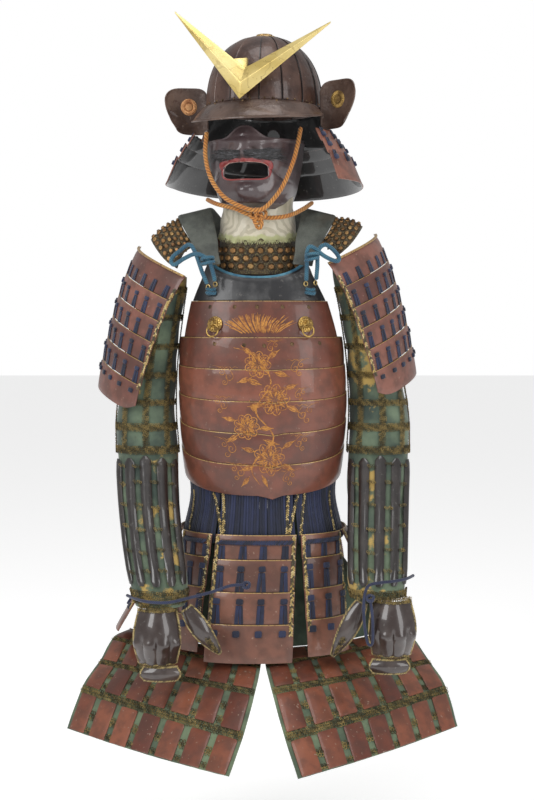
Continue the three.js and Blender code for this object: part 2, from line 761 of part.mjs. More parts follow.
add("brim", wall({
  surface: (u, v) => {
    const taper = Math.pow(Math.cos((u / 82) * 90 * DEG * 0.92), 0.5);
    const start = bowlPoint(u, 0, 3.4);
    const out = new THREE.Vector3(Math.sin(u * DEG), -Math.cos(u * DEG), 0);
    start.z = 2 - (44 * taper + 4) * Math.pow(v, 1.25);
    return start.addScaledVector(out, 40 * taper * v);
  },
  us: range(18, -78, 78),
  vs: range(3),
  thick: PLATE,
}), "iron", helmet);

// Each lame of the neck guard runs round the back, and flares out over the one above it.
const NECK_LAMES = [
  { name: "neck_guard_1", top: -6, hem: -53, reachTop: 4, reachHem: 24, end: 92 },
  { name: "neck_guard_2", top: -47, hem: -72, reachTop: 25.5, reachHem: 40, end: 64 },
  { name: "neck_guard_3", top: -67, hem: -97, reachTop: 41.5, reachHem: 58, end: 64 },
  { name: "neck_guard_4", top: -92, hem: -147, reachTop: 59.5, reachHem: 83, end: 64 },
];

for (const lame of NECK_LAMES)
  add(lame.name, wall({
    surface: (u, v) => {
      const reach = mix(lame.reachTop, lame.reachHem, v);
      return new THREE.Vector3(
        (BOWL.halfWidth + reach) * Math.sin(u * DEG),
        -(BOWL.halfLength + reach * 0.9) * Math.cos(u * DEG),
        mix(lame.top, lame.hem, v) - 14 * Math.max(0, -Math.cos(u * DEG)),
      );
    },
    us: range(24, lame.end, 360 - lame.end),
    vs: range(1),
    thick: PLATE,
  }), "russet", helmet);

// The ears: broad plates that stand up and out from the first lame's ends, each with a round gilt boss.
const EAR = { inner: 117, y: -4, low: -43, high: 50, width: 78, forward: 0.42, hollow: 9, lean: 0.064 };
function earPoint(sign, u, v) {
  const round = Math.sqrt(Math.max(0, 1 - Math.pow(2 * u - 1, 4)));
  const wide = EAR.width * mix(0.7, 1, Math.sin(Math.PI * mix(0, 0.6, v)));
  return new THREE.Vector3(
    sign * (EAR.inner + wide * u),
    EAR.y - EAR.forward * EAR.width * u + EAR.hollow * 4 * u * (1 - u) - 6 * v,
    mix(EAR.low + 12 * (1 - round), EAR.high - 22 * (1 - round), v),
  );
}
for (const { side, sign } of SIDES) {
  const plate = wall({
    surface: (u, v) => earPoint(sign, u, v),
    us: range(6),
    vs: range(6),
    thick: PLATE,
    flip: sign > 0,
  });
  // the boss is set half a millimetre into the hollow of the plate
  const profile = [[0, 0], [17, 0], [17, 3.6], [12, 5.4], [0, 6.4]].map(([r, h]) => new THREE.Vector2(r, h));
  const boss = new THREE.LatheGeometry(profile, 18);
  boss.rotateX(Math.PI + EAR.lean);
  boss.rotateZ(-sign * Math.atan(EAR.forward));
  const seat = earPoint(sign, 0.5, 0.6);
  boss.translate(seat.x, seat.y + 0.5, seat.z);
  add("helmet_ear_" + side, geometryOf(solid(plate).add(solid(boss))), "iron", helmet);
}

// The crest stands on a flat tongue above the brim and slides up off it.
const TONGUE = { y: -132, z: 4, width: 16, high: 54, thick: 3 };
const CREST = { point: [0, -150, 0], notch: [-5, -140, 66], tip: [155, -138, 153], tipWidth: 3 };
const CREST_RIDGE = 9;
const CREST_ROLL = 7.4; // degrees, it leans a little to the left in its socket

const tongue = new THREE.BoxGeometry(TONGUE.width, TONGUE.thick, TONGUE.high);
tongue.translate(0, TONGUE.y, TONGUE.z + TONGUE.high / 2);
add("crest_tongue", tongue, "iron", helmet);

// Two long blades that meet in a V, each folded along its middle. v runs from one tip to the other.
function crestPoint(u, v) {
  const along = Math.abs(v);
  const tip = (height) => new THREE.Vector3(...CREST.tip).add(new THREE.Vector3(0, 0, height));
  const low = new THREE.Vector3(...CREST.point).lerp(tip(-CREST.tipWidth / 2), along);
  const high = new THREE.Vector3(...CREST.notch).lerp(tip(CREST.tipWidth / 2), along);
  const point = high.lerp(low, u);
  point.x *= Math.sign(v);
  point.y -= CREST_RIDGE * (1 - Math.abs(2 * u - 1)) * (1 - 0.8 * along);
  return point;
}
const crest = wall({
  surface: crestPoint,
  us: range(2, 1, 0),
  vs: range(12, -1, 1),
  thick: 1.8,
});
crest.rotateY(CREST_ROLL * DEG);
add("front_crest", crest, "gilt", helmet);

// ---- Cords: the orange chin cords, and a blue cord at each wrist --------------------------------

const CHIN = [[-108, -72, 152], [-110, -84, 105], [-99, -98, 60], [-73, -112, 23], [-34, -118, 2],
  [-10, -119, -2], [9, -116, 7], [36, -108, 41], [57, -98, 89], [67, -90, 127], [73, -78, 160]];
const NECK = [[-110, -20, 27], [-89, -66, 14], [-53, -92, 3], [-26, -101, -9], [9, -100, -15], [48, -84, -10],
  [78, -48, 6], [98, -10, 22]];
const WRISTS = {
  right: [[-255, -190, -725], [-216, -256, -722], [-173, -262, -723], [-134, -235, -720], [-93, -225, -711],
    [-58, -222, -700], [-30, -222, -699]],
  left: [[283, -186, -688], [265, -224, -687], [240, -242, -688], [215, -246, -690], [192, -248, -697],
    [184, -262, -726], [186, -264, -767], [192, -264, -798], [200, -264, -796],
    [200, -264, -754], [196, -258, -716]],
};

add("chin_cord", cord(CHIN, 3.6), "orange");
const knot = new THREE.SphereGeometry(1, 10, 6);
knot.scale(15, 9, 15);
knot.translate(-9, -111, -18);
add("neck_cord", geometryOf(solid(cord(NECK, 3.6)).add(solid(knot))), "orange");
for (const [side, points] of Object.entries(WRISTS)) add("wrist_cord_" + side, cord(points, 3), "navy");

export default armour;
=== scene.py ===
import math
import random

import bmesh
import bpy
import numpy as np
from mathutils import Matrix, Vector


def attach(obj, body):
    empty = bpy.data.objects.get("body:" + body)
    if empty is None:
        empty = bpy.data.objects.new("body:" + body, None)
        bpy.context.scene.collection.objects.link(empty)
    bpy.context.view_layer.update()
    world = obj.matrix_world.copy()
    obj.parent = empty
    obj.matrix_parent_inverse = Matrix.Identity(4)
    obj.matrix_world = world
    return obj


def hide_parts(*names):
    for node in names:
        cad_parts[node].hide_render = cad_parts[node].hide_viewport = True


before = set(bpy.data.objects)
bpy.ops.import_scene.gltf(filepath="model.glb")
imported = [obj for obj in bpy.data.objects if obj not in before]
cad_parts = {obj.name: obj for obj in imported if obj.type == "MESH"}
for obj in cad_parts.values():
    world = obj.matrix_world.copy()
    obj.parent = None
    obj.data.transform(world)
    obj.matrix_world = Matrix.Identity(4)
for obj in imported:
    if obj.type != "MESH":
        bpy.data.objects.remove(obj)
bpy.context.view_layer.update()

# ---- Cuirass, front ------------------------------------------------------------------------------
# Broad lames of hardened rawhide and iron, lacquered red-brown, are riveted edge to edge round the
# trunk, and gilt fills the hairline of each seam. Flat work is cut in millimetres and bent round it.

MM = 0.001


def read_rows(rows):
    """A table is read smoothly at a value of its first column, and gives its other columns."""
    table = np.array(sorted(rows), float)
    keys, last = table[:, 0], len(table) - 1

    def at(key):
        key = np.asarray(key, float)
        i = np.clip(np.searchsorted(keys, key, side="right") - 1, 0, last - 1)
        t = np.clip((key - keys[i]) / (keys[i + 1] - keys[i]), 0, 1)[..., None]
        a, b, c, d = (table[np.clip(i + k, 0, last), 1:] for k in (-1, 0, 1, 2))
        read = b + 0.5 * t * (c - a + t * (2 * a - 5 * b + 4 * c - d + t * (3 * (b - c) + d - a)))
        return np.moveaxis(read, -1, 0)

    return at


def mix(a, b, t):
    return a + (b - a) * t


def points(x, y, z):
    return np.stack(np.broadcast_arrays(x, y, z), axis=-1).astype(float)


NECK_SHIFT = -12
SHOULDER_DROP = 13
trunk = read_rows([
    # z, shift, half width, front, back
    (-40, NECK_SHIFT, 118, 70, 86),
    (-110, -10, 134, 84, 98),
    (-172, -7, 148, 104, 108),
    (-242, -4, 160, 121, 114),
    (-309, -2, 165, 130, 117),
    (-376, 0, 166, 133, 117),
    (-440, 0, 163, 131, 114),
    (-506, 0, 157, 126, 108),
    (-560, 0, 152, 119, 103),
    (-640, 0, 166, 132, 114),
])


def squarer(w):
    return np.sign(w) * np.abs(w) ** 0.87


def around(z, degrees, grow=0.0):
    """A point of the trunk, from 0 degrees at the front to 90 on the wearer's left."""
    shift, half, front, back = trunk(z)
    turn = np.radians(degrees)
    depth = np.where(np.cos(turn) > 0, front, back) + grow
    return points(shift + (half + grow) * squarer(np.sin(turn)), -depth * squarer(np.cos(turn)), z)


class Form:
    """A curved surface that flat work is bent round. The work is in millimetres: x runs to the right as
    seen from outside, along the surface's own length, y is 0 at the top edge and falls to -deep, and z
    stands out of the surface."""

    def __init__(self, surface, steps=400):
        self.surface, self.us = surface, np.linspace(0, 1, steps)
        line = surface(self.us, np.full(steps, 0.5))
        self.lengths = np.append(0, np.cumsum(np.linalg.norm(np.diff(line, axis=0), axis=1)))
        self.wide = self.lengths[-1]
        line = surface(np.full(steps, 0.5), self.us)
        self.deep = np.linalg.norm(np.diff(line, axis=0), axis=1).sum()

    def bend(self, flat):
        x = np.clip(flat[:, 0], 0, self.wide)
        u = np.interp(x, self.lengths, self.us) + (flat[:, 0] - x) / self.wide
        v, out = -flat[:, 1] / self.deep, flat[:, 2:]
        near = 1e-4
        across = self.surface(u + near, v) - self.surface(u - near, v)
        down = self.surface(u, v + near) - self.surface(u, v - near)
        normal = np.cross(down, across)
        normal /= np.linalg.norm(normal, axis=1)[:, None] + 1e-12
        return (self.surface(u, v) + normal * out) * MM


def new_work():
    work = bmesh.new()
    work.loops.layers.uv.new("Cut")  # millimetres from a piece's own top left corner
    work.loops.layers.uv.new("Piece")  # two numbers that differ from piece to piece
    return work


TONE_DRAW = random.Random(11)


def mark(work, faces, left, top):
    """Writes where each corner of the faces is on its piece, and the piece's own two numbers."""
    cut, piece = work.loops.layers.uv["Cut"], work.loops.layers.uv["Piece"]
    own = (TONE_DRAW.random(), TONE_DRAW.random())
    for face in faces:
        for loop in face.loops:
            loop[cut].uv = (loop.vert.co.x - left, top - loop.vert.co.y)
            loop[piece].uv = own


def plate(work, left, top, wide, deep, thick, across=1, down=1, shape=None, base=0.0, corner=0.0):
    """A plate of even thickness, flat on its base. shape moves its points up or in."""
    place = Matrix.Translation((left + wide / 2, top - deep / 2, base)) @ Matrix.Diagonal((wide, deep, 1, 1))
    made = bmesh.ops.create_grid(work, x_segments=across, y_segments=down, size=0.5, matrix=place)
    faces = list({face for vert in made["verts"] for face in vert.link_faces})
    mark(work, faces, left, top)
    if corner:
        tips = [v for v in made["verts"] if len(v.link_edges) == 2]
        bmesh.ops.bevel(work, geom=tips, offset=corner, segments=3, profile=0.5, affect="VERTICES", material=-1)
        faces = list({face for vert in made["verts"] if vert.is_valid for face in vert.link_faces})
    grown = bmesh.ops.extrude_face_region(work, geom=faces)["geom"]
    upper = [g for g in grown if isinstance(g, bmesh.types.BMVert)]
    bmesh.ops.translate(work, verts=upper, vec=(0, 0, thick))
    if shape:
        every = set(upper) | {v for face in faces if face.is_valid for v in face.verts}
        for vert in every:
            vert.co = shape(vert.co)
    return upper


def soften(work, width, sharp=50):
    """Rounds off every sharp edge."""
    edges = [e for e in work.edges if len(e.link_faces) == 2 and e.calc_face_angle() > math.radians(sharp)]
    bmesh.ops.bevel(work, geom=edges, offset=width, segments=2, profile=0.5, affect="EDGES", material=-1)


def settle(piece, slot, body="armour", replaces=()):
    """Gives a finished piece its body and hides the solids that it stands for. Its slot is not used."""
    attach(piece, body)
    if replaces:
        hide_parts(*replaces)
    return piece


def bent(name, work, form, finish, slot, body="armour", replaces=(), smooth=38):
    """Makes an object of flat work, bent round its form."""
    bmesh.ops.recalc_face_normals(work, faces=work.faces)
    mesh = bpy.data.meshes.new(name)
    work.to_mesh(mesh)
    work.free()
    if form:
        flat = np.empty(len(mesh.vertices) * 3)
        mesh.vertices.foreach_get("co", flat)
        mesh.vertices.foreach_set("co", form.bend(flat.reshape(-1, 3)).ravel())
    mesh.shade_smooth()
    mesh.set_sharp_from_angle(angle=math.radians(smooth))
    mesh.materials.append(finish)
    piece = bpy.data.objects.new(name, mesh)
    bpy.context.scene.collection.objects.link(piece)
    return settle(piece, slot, body, replaces)


class Shade:
    """A value on its way through a shader. Sums on it add the Math nodes."""

    def __init__(self, paint, socket):
        self.paint, self.socket = paint, socket

    def math(self, operation, *others):
        inputs = dict(enumerate((self, *others)))
        return self.paint.node("ShaderNodeMath", {"operation": operation}, inputs)

    def turned(self, operation, other):
        return self.paint.node("ShaderNodeMath", {"operation": operation}, {0: other, 1: self})

    def __add__(self, other):
        return self.math("ADD", other)

    def __sub__(self, other):
        return self.math("SUBTRACT", other)

    def __mul__(self, other):
        return self.math("MULTIPLY", other)

    def __truediv__(self, other):
        return self.math("DIVIDE", other)

    def __rsub__(self, other):
        return self.turned("SUBTRACT", other)

    def __gt__(self, other):
        return self.math("GREATER_THAN", other)

    def __lt__(self, other):
        return self.math("LESS_THAN", other)

    __radd__, __rmul__ = __add__, __mul__

    def band(self, low, high):
        """0 below low and 1 above high, or the other way round when low is the larger."""
        settings = {"interpolation_type": "SMOOTHSTEP"}
        return self.paint.node("ShaderNodeMapRange", settings, {"Value": self, "From Min": low, "From Max": high})


class Paint:
    """A material, built node by node from a plain Principled surface."""

    def __init__(self, name, roughness=0.5, metallic=0.0, coat=0.0, sheen=0.0):
        self.material = bpy.data.materials.new(name)
        self.material.use_nodes = True
        self.tree = self.material.node_tree
        self.surface = self.tree.nodes["Principled BSDF"]
        plain = {"Roughness": roughness, "Metallic": metallic, "Coat Weight": coat, "Sheen Weight": sheen}
        for socket, value in plain.items():
            self.surface.inputs[socket].default_value = value

    def node(self, kind, settings=None, inputs=None, output=0):
        """Adds a node: its settings first, then the value or the link of each socket named."""
        node = self.tree.nodes.new(kind)
        for key, value in (settings or {}).items():
            if key == "stops":
                ramp = node.color_ramp.elements
                while len(ramp) < len(value):
                    ramp.new(0.5)
                for stop, (position, colour) in zip(ramp, value):
                    stop.position, stop.color = position, (*colour, 1)
            else:
                setattr(node, key, value)
        for key, value in (inputs or {}).items():
            self.join(value, node.inputs[key])
        return Shade(self, node.outputs[output])

    def join(self, value, socket):
        if isinstance(value, Shade):
            self.tree.links.new(value.socket, socket)
        elif isinstance(value, tuple) and socket.type == "RGBA":
            socket.default_value = (*value, 1)
        else:
            socket.default_value = value

    def set(self, **sockets):
        for key, value in sockets.items():
            self.join(value, self.surface.inputs[key.replace("_", " ")])

    def place(self):
        return self.node("ShaderNodeTexCoord", output="Object")

    def uv(self, layer="Cut"):
        """The two numbers of a layer, as a pair of values."""
        spot = self.node("ShaderNodeUVMap", {"uv_map": layer})
        return tuple(self.node("ShaderNodeSeparateXYZ", None, {0: spot}, axis) for axis in "XY")

    def spot(self, x, y=0.0, z=0.0):
        return self.node("ShaderNodeCombineXYZ", None, {"X": x, "Y": y, "Z": z})

    def noise(self, scale, detail=3.0, where=None, roughness=0.55):
        inputs = {"Vector": where or self.place(), "Scale": scale, "Detail": detail, "Roughness": roughness}
        return self.node("ShaderNodeTexNoise", None, inputs, "Fac")

    def cells(self, scale, where=None, feature="F1", output="Distance"):
        inputs = {"Vector": where or self.place(), "Scale": scale}
        return self.node("ShaderNodeTexVoronoi", {"feature": feature}, inputs, output)

    def blend(self, share, first, second):
        inputs = {"Factor": share, 6: first, 7: second}
        return self.node("ShaderNodeMix", {"data_type": "RGBA"}, inputs, 2)

    def ramp(self, share, *stops):
        return self.node("ShaderNodeValToRGB", {"stops": stops}, {"Fac": share})

    def bump(self, height, depth, base=None):
        """Relief of the given depth in millimetres."""
        inputs = {"Height": height, "Distance": depth * MM}
        if base:
            inputs["Normal"] = base
        return self.node("ShaderNodeBump", None, inputs)


def lacquer(name, dark, light, gilt_edge=1.3, wear=0.5):
    """Lacquer over iron or rawhide: clouded colour, grime, a gilt hairline along the top edge, and small chips all
    over.
    """
    paint = Paint(name, roughness=0.36, coat=0.25)
    across, down = paint.uv()
    own, _ = paint.uv("Piece")
    cloud = paint.noise(9.0, 4.0) * 0.7 + own * 0.3
    colour = paint.blend(cloud.band(0.3, 0.7), dark, light)
    grime = paint.noise(38.0, 5.0).band(0.62, 0.35)
    colour = paint.blend(grime * 0.45, colour, (0.055, 0.028, 0.02))
    scuff = paint.noise(150.0, 3.0).band(0.66, 0.72) * wear
    colour = paint.blend(scuff, colour, (0.30, 0.20, 0.15))
    fray = paint.noise(260.0, 2.0)
    line = (down < gilt_edge) * fray.band(0.3, 0.5)
    colour = paint.blend(line, colour, (0.50, 0.33, 0.13))
    paint.set(Base_Color=colour, Roughness=0.3 + paint.noise(60.0, 3.0) * 0.25 + scuff * 0.3)
    paint.set(Metallic=line * 0.5, Normal=paint.bump(paint.noise(90.0, 4.0), 0.35))
    return paint.material


RED_LACQUER = lacquer("red_brown_lacquer", (0.115, 0.034, 0.022), (0.22, 0.070, 0.040))

SIDE_GAP = 0.4
CHEST_SEAM, BOARD_SEAM = -243, -173
CHEST_LAMES = 5
LAME_THICK = 2.2


def chest_hem(degrees):
    return -548 + 38 * (degrees / 90) ** 2 - 7 * np.maximum(0, 1 - np.abs(degrees - 5) / 7)


def chest_surface(u, v):
    degrees = mix(-90 + SIDE_GAP, 90 - SIDE_GAP, u)
    return around(mix(CHEST_SEAM, chest_hem(degrees), v), degrees)


def lame_lift(deep, count, step, swell=0.6):
    """How far the face of a stack of lames stands out. Each lame is a step proud at its top edge, and
    comes back to the surface at its lower one, under the step of the next."""

    def lift(y):
        share = np.clip(-y * count / deep, 0, count - 1e-6) % 1
        return step * (1 - share) + swell * np.sin(np.pi * share)

    return lift


def lame_stack(work, form, count, step, across, swell=0.6):
    deep = form.deep / count
    for k in range(count):
        top = -k * deep

        def shape(co, top=top):
            share = (top - co.y) / deep
            lift = step * (1 - share) + swell * math.sin(math.pi * share)
            return Vector((co.x, co.y, co.z + lift))

        plate(work, 0, top, form.wide, deep - 0.5, LAME_THICK, across, 4, shape, base=-LAME_THICK)
    soften(work, 0.7)


chest_form = Form(chest_surface)
work = new_work()
lame_stack(work, chest_form, CHEST_LAMES, 1.4, 48)
bent("chest_lames", work, chest_form, RED_LACQUER, "russet_lacquer", replaces=["chest_plate"])


def upper_surface(u, v):
    degrees = (2 * u - 1) * mix(60, 68, v)
    return around(mix(BOARD_SEAM, CHEST_SEAM + 0.4, v), degrees, 2.5 * (1 - v))


upper_form = Form(upper_surface)
work = new_work()
plate(work, 0, 0, upper_form.wide, upper_form.deep, LAME_THICK, 40, 6, base=-LAME_THICK)
soften(work, 0.8)
bent("breast_upper_lame", work, upper_form, RED_LACQUER, "russet_lacquer", replaces=["chest_upper_lame"])

# ---- Breast board --------------------------------------------------------------------------------
# The top of the breast is one dark board with a rolled edge round the neck. It is black lacquer
# over iron, rubbed grey where the shoulder cords lie on it.


def board_top(degrees):
    return -130 + 26 * np.minimum(1, (np.abs(degrees) / 40) ** 2)


def board_surface(u, v):
    side = 2 * u - 1
    return around(mix(board_top(side * 45), BOARD_SEAM + 0.4, v), side * mix(45, 60, v), -1)


def black_lacquer(name, colour=(0.022, 0.022, 0.024), rubbed=(0.10, 0.10, 0.10)):
    paint = Paint(name, roughness=0.4, coat=0.2)
    rub = paint.noise(22.0, 5.0).band(0.45, 0.75)
    scratch = paint.noise(120.0, 4.0).band(0.6, 0.75)
    shade = paint.blend(rub * 0.6, colour, rubbed)
    paint.set(Base_Color=paint.blend(scratch * 0.5, shade, (0.16, 0.15, 0.14)))
    paint.set(Roughness=0.34 + rub * 0.25, Normal=paint.bump(paint.noise(70.0, 5.0), 0.5))
    return paint.material


BLACK_LACQUER = black_lacquer("black_lacquer")
board_form = Form(board_surface)


def board_rim(co):
    # the neck edge is rolled outwards
    return Vector((co.x, co.y, co.z + 3.2 * math.exp(-((-co.y - 2) / 3.5) ** 2)))


work = new_work()
plate(work, 0, 0, board_form.wide, board_form.deep, LAME_THICK, 40, 16, board_rim, base=-LAME_THICK)
soften(work, 0.8)
bent("breast_board_black", work, board_form, BLACK_LACQUER, "black_lacquer", replaces=["breast_board"])

# The blue leather lining shows as a crescent inside the neck edge.


def lining_surface(u, v):
    degrees = mix(-44, 44, u)
    return around(mix(board_top(degrees) + 5, board_top(degrees) - 14, v), degrees, -4.2)


def blue_leather(name):
    paint = Paint(name, roughness=0.7)
    fade = paint.noise(45.0, 4.0).band(0.35, 0.7)
    paint.set(Base_Color=paint.blend(fade, (0.03, 0.12, 0.20), (0.10, 0.27, 0.36)))
    paint.set(Normal=paint.bump(paint.noise(260.0, 4.0), 0.3))
    return paint.material


lining_form = Form(lining_surface)
work = new_work()
plate(work, 0, 0, lining_form.wide, lining_form.deep, 1.5, 30, 3, base=-1.5)
soften(work, 0.6)
bent("blue_neck_lining", work, lining_form, blue_leather("blue_leather"), "blue_silk", replaces=["neck_lining"])

# ---- Cuirass, back -------------------------------------------------------------------------------
# The back is made as the front is: a board of three lames between the shoulders, and five broad
# lames below it that close with the front at the sides.


def back_surface(u, v):
    degrees = mix(90 + SIDE_GAP, 270 - SIDE_GAP, u)
    return around(mix(CHEST_SEAM, -540 + 30 * ((degrees - 180) / 90) ** 2, v), degrees)


def back_board_surface(u, v):
    side = 2 * u - 1
    return around(mix(-52 + 10 * np.abs(side), CHEST_SEAM + 0.4, v), 180 + side * mix(42, 64, v))


back_form = Form(back_surface)
work = new_work()
lame_stack(work, back_form, CHEST_LAMES, 1.4, 40)
bent("back_lames", work, back_form, RED_LACQUER, "russet_lacquer", replaces=["back_plate"])

back_board_form = Form(back_board_surface)
work = new_work()
lame_stack(work, back_board_form, 3, 1.6, 32)
bent("back_board_lames", work, back_board_form, RED_LACQUER, "russet_lacquer", replaces=["back_board"])

# ---- Rivets, brushwork and breast rings ----------------------------------------------------------
# Star-headed rivets hold the lames, and gold is brushed over the lacquer in a scroll of clouds,
# leaves and blossoms. Two gilt rosettes each carry a ring in an eye, which swings.


def scatter(name, work, spots, form, finish, slot, lift=None, body="armour", replaces=(), smooth=50):
    """Lays a copy of the work at every spot of a form. A spot is x, y, turn in degrees, length along x,
    width along y, height and base."""
    spots = np.asarray(spots, float)
    bmesh.ops.recalc_face_normals(work, faces=work.faces)
    one = bpy.data.meshes.new(name + "_one")
    work.to_mesh(one)
    work.free()
    source = bpy.data.objects.new(name + "_one", one)
    bpy.context.scene.collection.objects.link(source)
    copies = source.modifiers.new("copies", "ARRAY")
    copies.count, copies.use_relative_offset = len(spots), False
    mesh = bpy.data.meshes.new_from_object(source.evaluated_get(bpy.context.evaluated_depsgraph_get()))
    bpy.data.objects.remove(source)
    flat = np.empty(len(mesh.vertices) * 3)
    mesh.vertices.foreach_get("co", flat)
    flat = flat.reshape(len(spots), -1, 3)
    x, y, turn, length, width, height, base = (spots[:, None, i] for i in range(7))
    along, aside = flat[..., 0] * length, flat[..., 1] * width
    turn = np.radians(turn)
    laid_x = x + along * np.cos(turn) - aside * np.sin(turn)
    laid_y = y + along * np.sin(turn) + aside * np.cos(turn)
    laid_z = base + flat[..., 2] * height
    if lift:
        laid_z = laid_z + lift(laid_y)
    laid = points(laid_x, laid_y, laid_z).reshape(-1, 3)
    mesh.vertices.foreach_set("co", (form.bend(laid) if form else laid * MM).ravel())
    own = np.random.default_rng(len(spots)).random((len(spots), 2))
    each = len(mesh.loops) // len(spots)
    layer = mesh.uv_layers.get("Piece") or mesh.uv_layers.new(name="Piece")
    layer.uv.foreach_set("vector", np.repeat(own, each, axis=0).ravel())
    mesh.name = name
    mesh.shade_smooth()
    mesh.set_sharp_from_angle(angle=math.radians(smooth))
    mesh.materials.clear()
    mesh.materials.append(finish)
    piece = bpy.data.objects.new(name, mesh)
    bpy.context.scene.collection.objects.link(piece)
    return settle(piece, slot, body, replaces)


def star_head():
    """A rivet head of eight short points, one millimetre wide and one high."""
    work = new_work()
    made = bmesh.ops.create_cone(work, cap_ends=True, segments=16, radius1=0.5, radius2=0.3, depth=0.6,
                                 matrix=Matrix.Translation((0, 0, 0.3)))
    for vert in made["verts"]:
        turn = math.atan2(vert.co.y, vert.co.x)
        vert.co.xy *= 1 - 0.22 * (1 - math.cos(4 * turn)) / 2
    top = [f for f in work.faces if f.normal.z > 0.9]
    bmesh.ops.inset_individual(work, faces=top, thickness=0.08, depth=-0.06)
    bmesh.ops.inset_individual(work, faces=top, thickness=0.1, depth=0.3)
    return work


def aged_gilt(name, bright=(0.55, 0.36, 0.11), dull=(0.16, 0.09, 0.03), roughness=0.38):
    paint = Paint(name, roughness=roughness, metallic=0.85)
    grime = paint.noise(60.0, 5.0).band(0.42, 0.66)
    pits = paint.noise(320.0, 3.0).band(0.58, 0.72)
    paint.set(Base_Color=paint.blend(grime, bright, dull), Metallic=0.9 - grime * 0.3)
    paint.set(Roughness=roughness + grime * 0.22, Normal=paint.bump(pits, 0.25))
    return paint.material


GILT = aged_gilt("aged_gilt")
STUD_METAL = aged_gilt("dark_bronze", (0.20, 0.13, 0.07), (0.045, 0.03, 0.022), 0.45)

rivets = [(x, -12, 22, 9, 9, 3, LAME_THICK - 2.2) for x in (57, 110, 156, 208, 264)]
upper_lift = lambda y: 0 * y
scatter("upper_rivets", star_head(), rivets, upper_form, STUD_METAL, "gilt", replaces=())
chest_lift = lame_lift(chest_form.deep, CHEST_LAMES, 1.4)
rivets = [(x, y, 22, 9, 9, 3, 0) for x, y in ((148, -13), (208, -15), (247, -16), (302, -13), (362, -12))]
scatter("chest_rivets", star_head(), rivets, chest_form, STUD_METAL, "gilt", chest_lift)


def dash():
    """One touch of the brush, one millimetre long and wide, with its middle raised."""
    work = new_work()
    bmesh.ops.create_cone(work, cap_ends=True, segments=6, radius1=0.58, radius2=0.4, depth=1,
                          matrix=Matrix.Translation((0, 0, 0.5)))
    return work


def brushed(path, width, base=0.0):
    """The touches along a path of (x, y), widest in its middle."""
    path = np.asarray(path, float)
    step = np.diff(path, axis=0)
    length = np.linalg.norm(step, axis=1)
    middle = (path[1:] + path[:-1]) / 2
    share = np.linspace(0, 1, len(middle))
    swell = width * (0.45 + 0.75 * np.sin(np.pi * share) ** 0.7)
    turn = np.degrees(np.arctan2(step[:, 1], step[:, 0]))
    rows = [middle[:, 0], middle[:, 1], turn, length * 1.5 + 0.3, swell, np.full(len(middle), 0.25)]
    return np.stack([*rows, np.full(len(middle), base)], axis=1)


def turned(path, x, y, degrees=0.0, size=1.0, mirrored=False):
    """Moves a path of (x, y) to its place."""
    path = np.asarray(path, float) * size * ((-1, 1) if mirrored else (1, 1))
    a = math.radians(degrees)
    return path @ np.array([[math.cos(a), math.sin(a)], [-math.sin(a), math.cos(a)]]) + (x, y)


def curl(turns=1.4, size=9.0, tail=16.0, steps=22):
    """A spiral with a tail that runs off to the right."""
    t = np.linspace(0, 1, steps)
    angle = 2 * math.pi * turns * t - math.pi / 2
    radius = size * (0.12 + 0.88 * t)
    spiral = np.stack([radius * np.cos(angle), radius * np.sin(angle)], axis=1)
    s = np.linspace(0.1, 1, 8)
    heading = np.array([-math.sin(angle[-1]), math.cos(angle[-1])])
    run = spiral[-1] + np.outer(s * tail, heading) + np.outer(-s ** 2 * tail * 0.5, spiral[-1] / size)
    return np.concatenate([spiral, run])


def petal(length=13.0, width=6.0, steps=12):
    t = np.linspace(0, 1, steps)
    return np.stack([length * np.sin(math.pi * t) ** 0.8, width * np.cos(math.pi * t)], axis=1)


def cloud(x, y, size, mirrored, width=0.75):
    """Three curls with their tails trailing one way."""
    parts = []
    for dx, dy, turn, share in ((0, 0, 0, 1), (-13, 7, 25, 0.72), (-8, -10, -30, 0.62)):
        side = -1 if mirrored else 1
        path = turned(curl(1.3, 8 * share, 20), x + side * dx * size, y + dy * size, side * turn, size, mirrored)
        parts.append(brushed(path, width))
    lobes = np.stack([np.linspace(-20, 16, 30), 14 + 3.5 * np.abs(np.sin(np.linspace(0, 9, 30)))], axis=1)
    parts.append(brushed(turned(lobes, x, y, 0, size, mirrored), width * 0.8))
    return parts


def blossom(x, y, size, width=1.5):
    """A full flower, two rings of petals with filled hearts."""
    parts = []
    for ring, (count, share, start) in enumerate(((9, 1.0, 0), (7, 0.62, 20))):
        for k in range(count):
            turn = start + 360 * k / count
            out = 4 * size * share
            a = math.radians(turn)
            spot = (x + out * math.cos(a), y + out * math.sin(a))
            parts.append(brushed(turned(petal(), *spot, turn, size * share), width * 0.7))
            vein = [(2, 0), (9, 0)]
            parts.append(brushed(turned(vein, *spot, turn, size * share), width * 3.2 * share))
            parts.append(brushed(turned([(3, 2.4), (8, 2)], *spot, turn, size * share), width * 1.6 * share))
    for k in range(14):
        a = k * 2.4
        spot = (x + 0.9 * size * math.sqrt(k) * math.cos(a), y + 0.9 * size * math.sqrt(k) * math.sin(a))
        parts.append(brushed([(spot[0] - 0.6, spot[1]), (spot[0] + 0.6, spot[1])], 1.3))
    return parts


def leaf(x, y, degrees, size, width=1.1):
    side = [(0, 0), (5, 2.6), (10, 3.2), (15, 1.8), (20, 0)]
    under = [(0, 0), (5, -2.4), (10, -2.8), (15, -1.4), (20, 0)]
    vein = [(0, 0), (6, 0.3), (12, 0.2), (20, 0)]
    strokes = [brushed(turned(path, x, y, degrees, size), width) for path in (side, under)]
    strokes.append(brushed(turned(vein, x, y, degrees, size), width * 2.6))
    return strokes


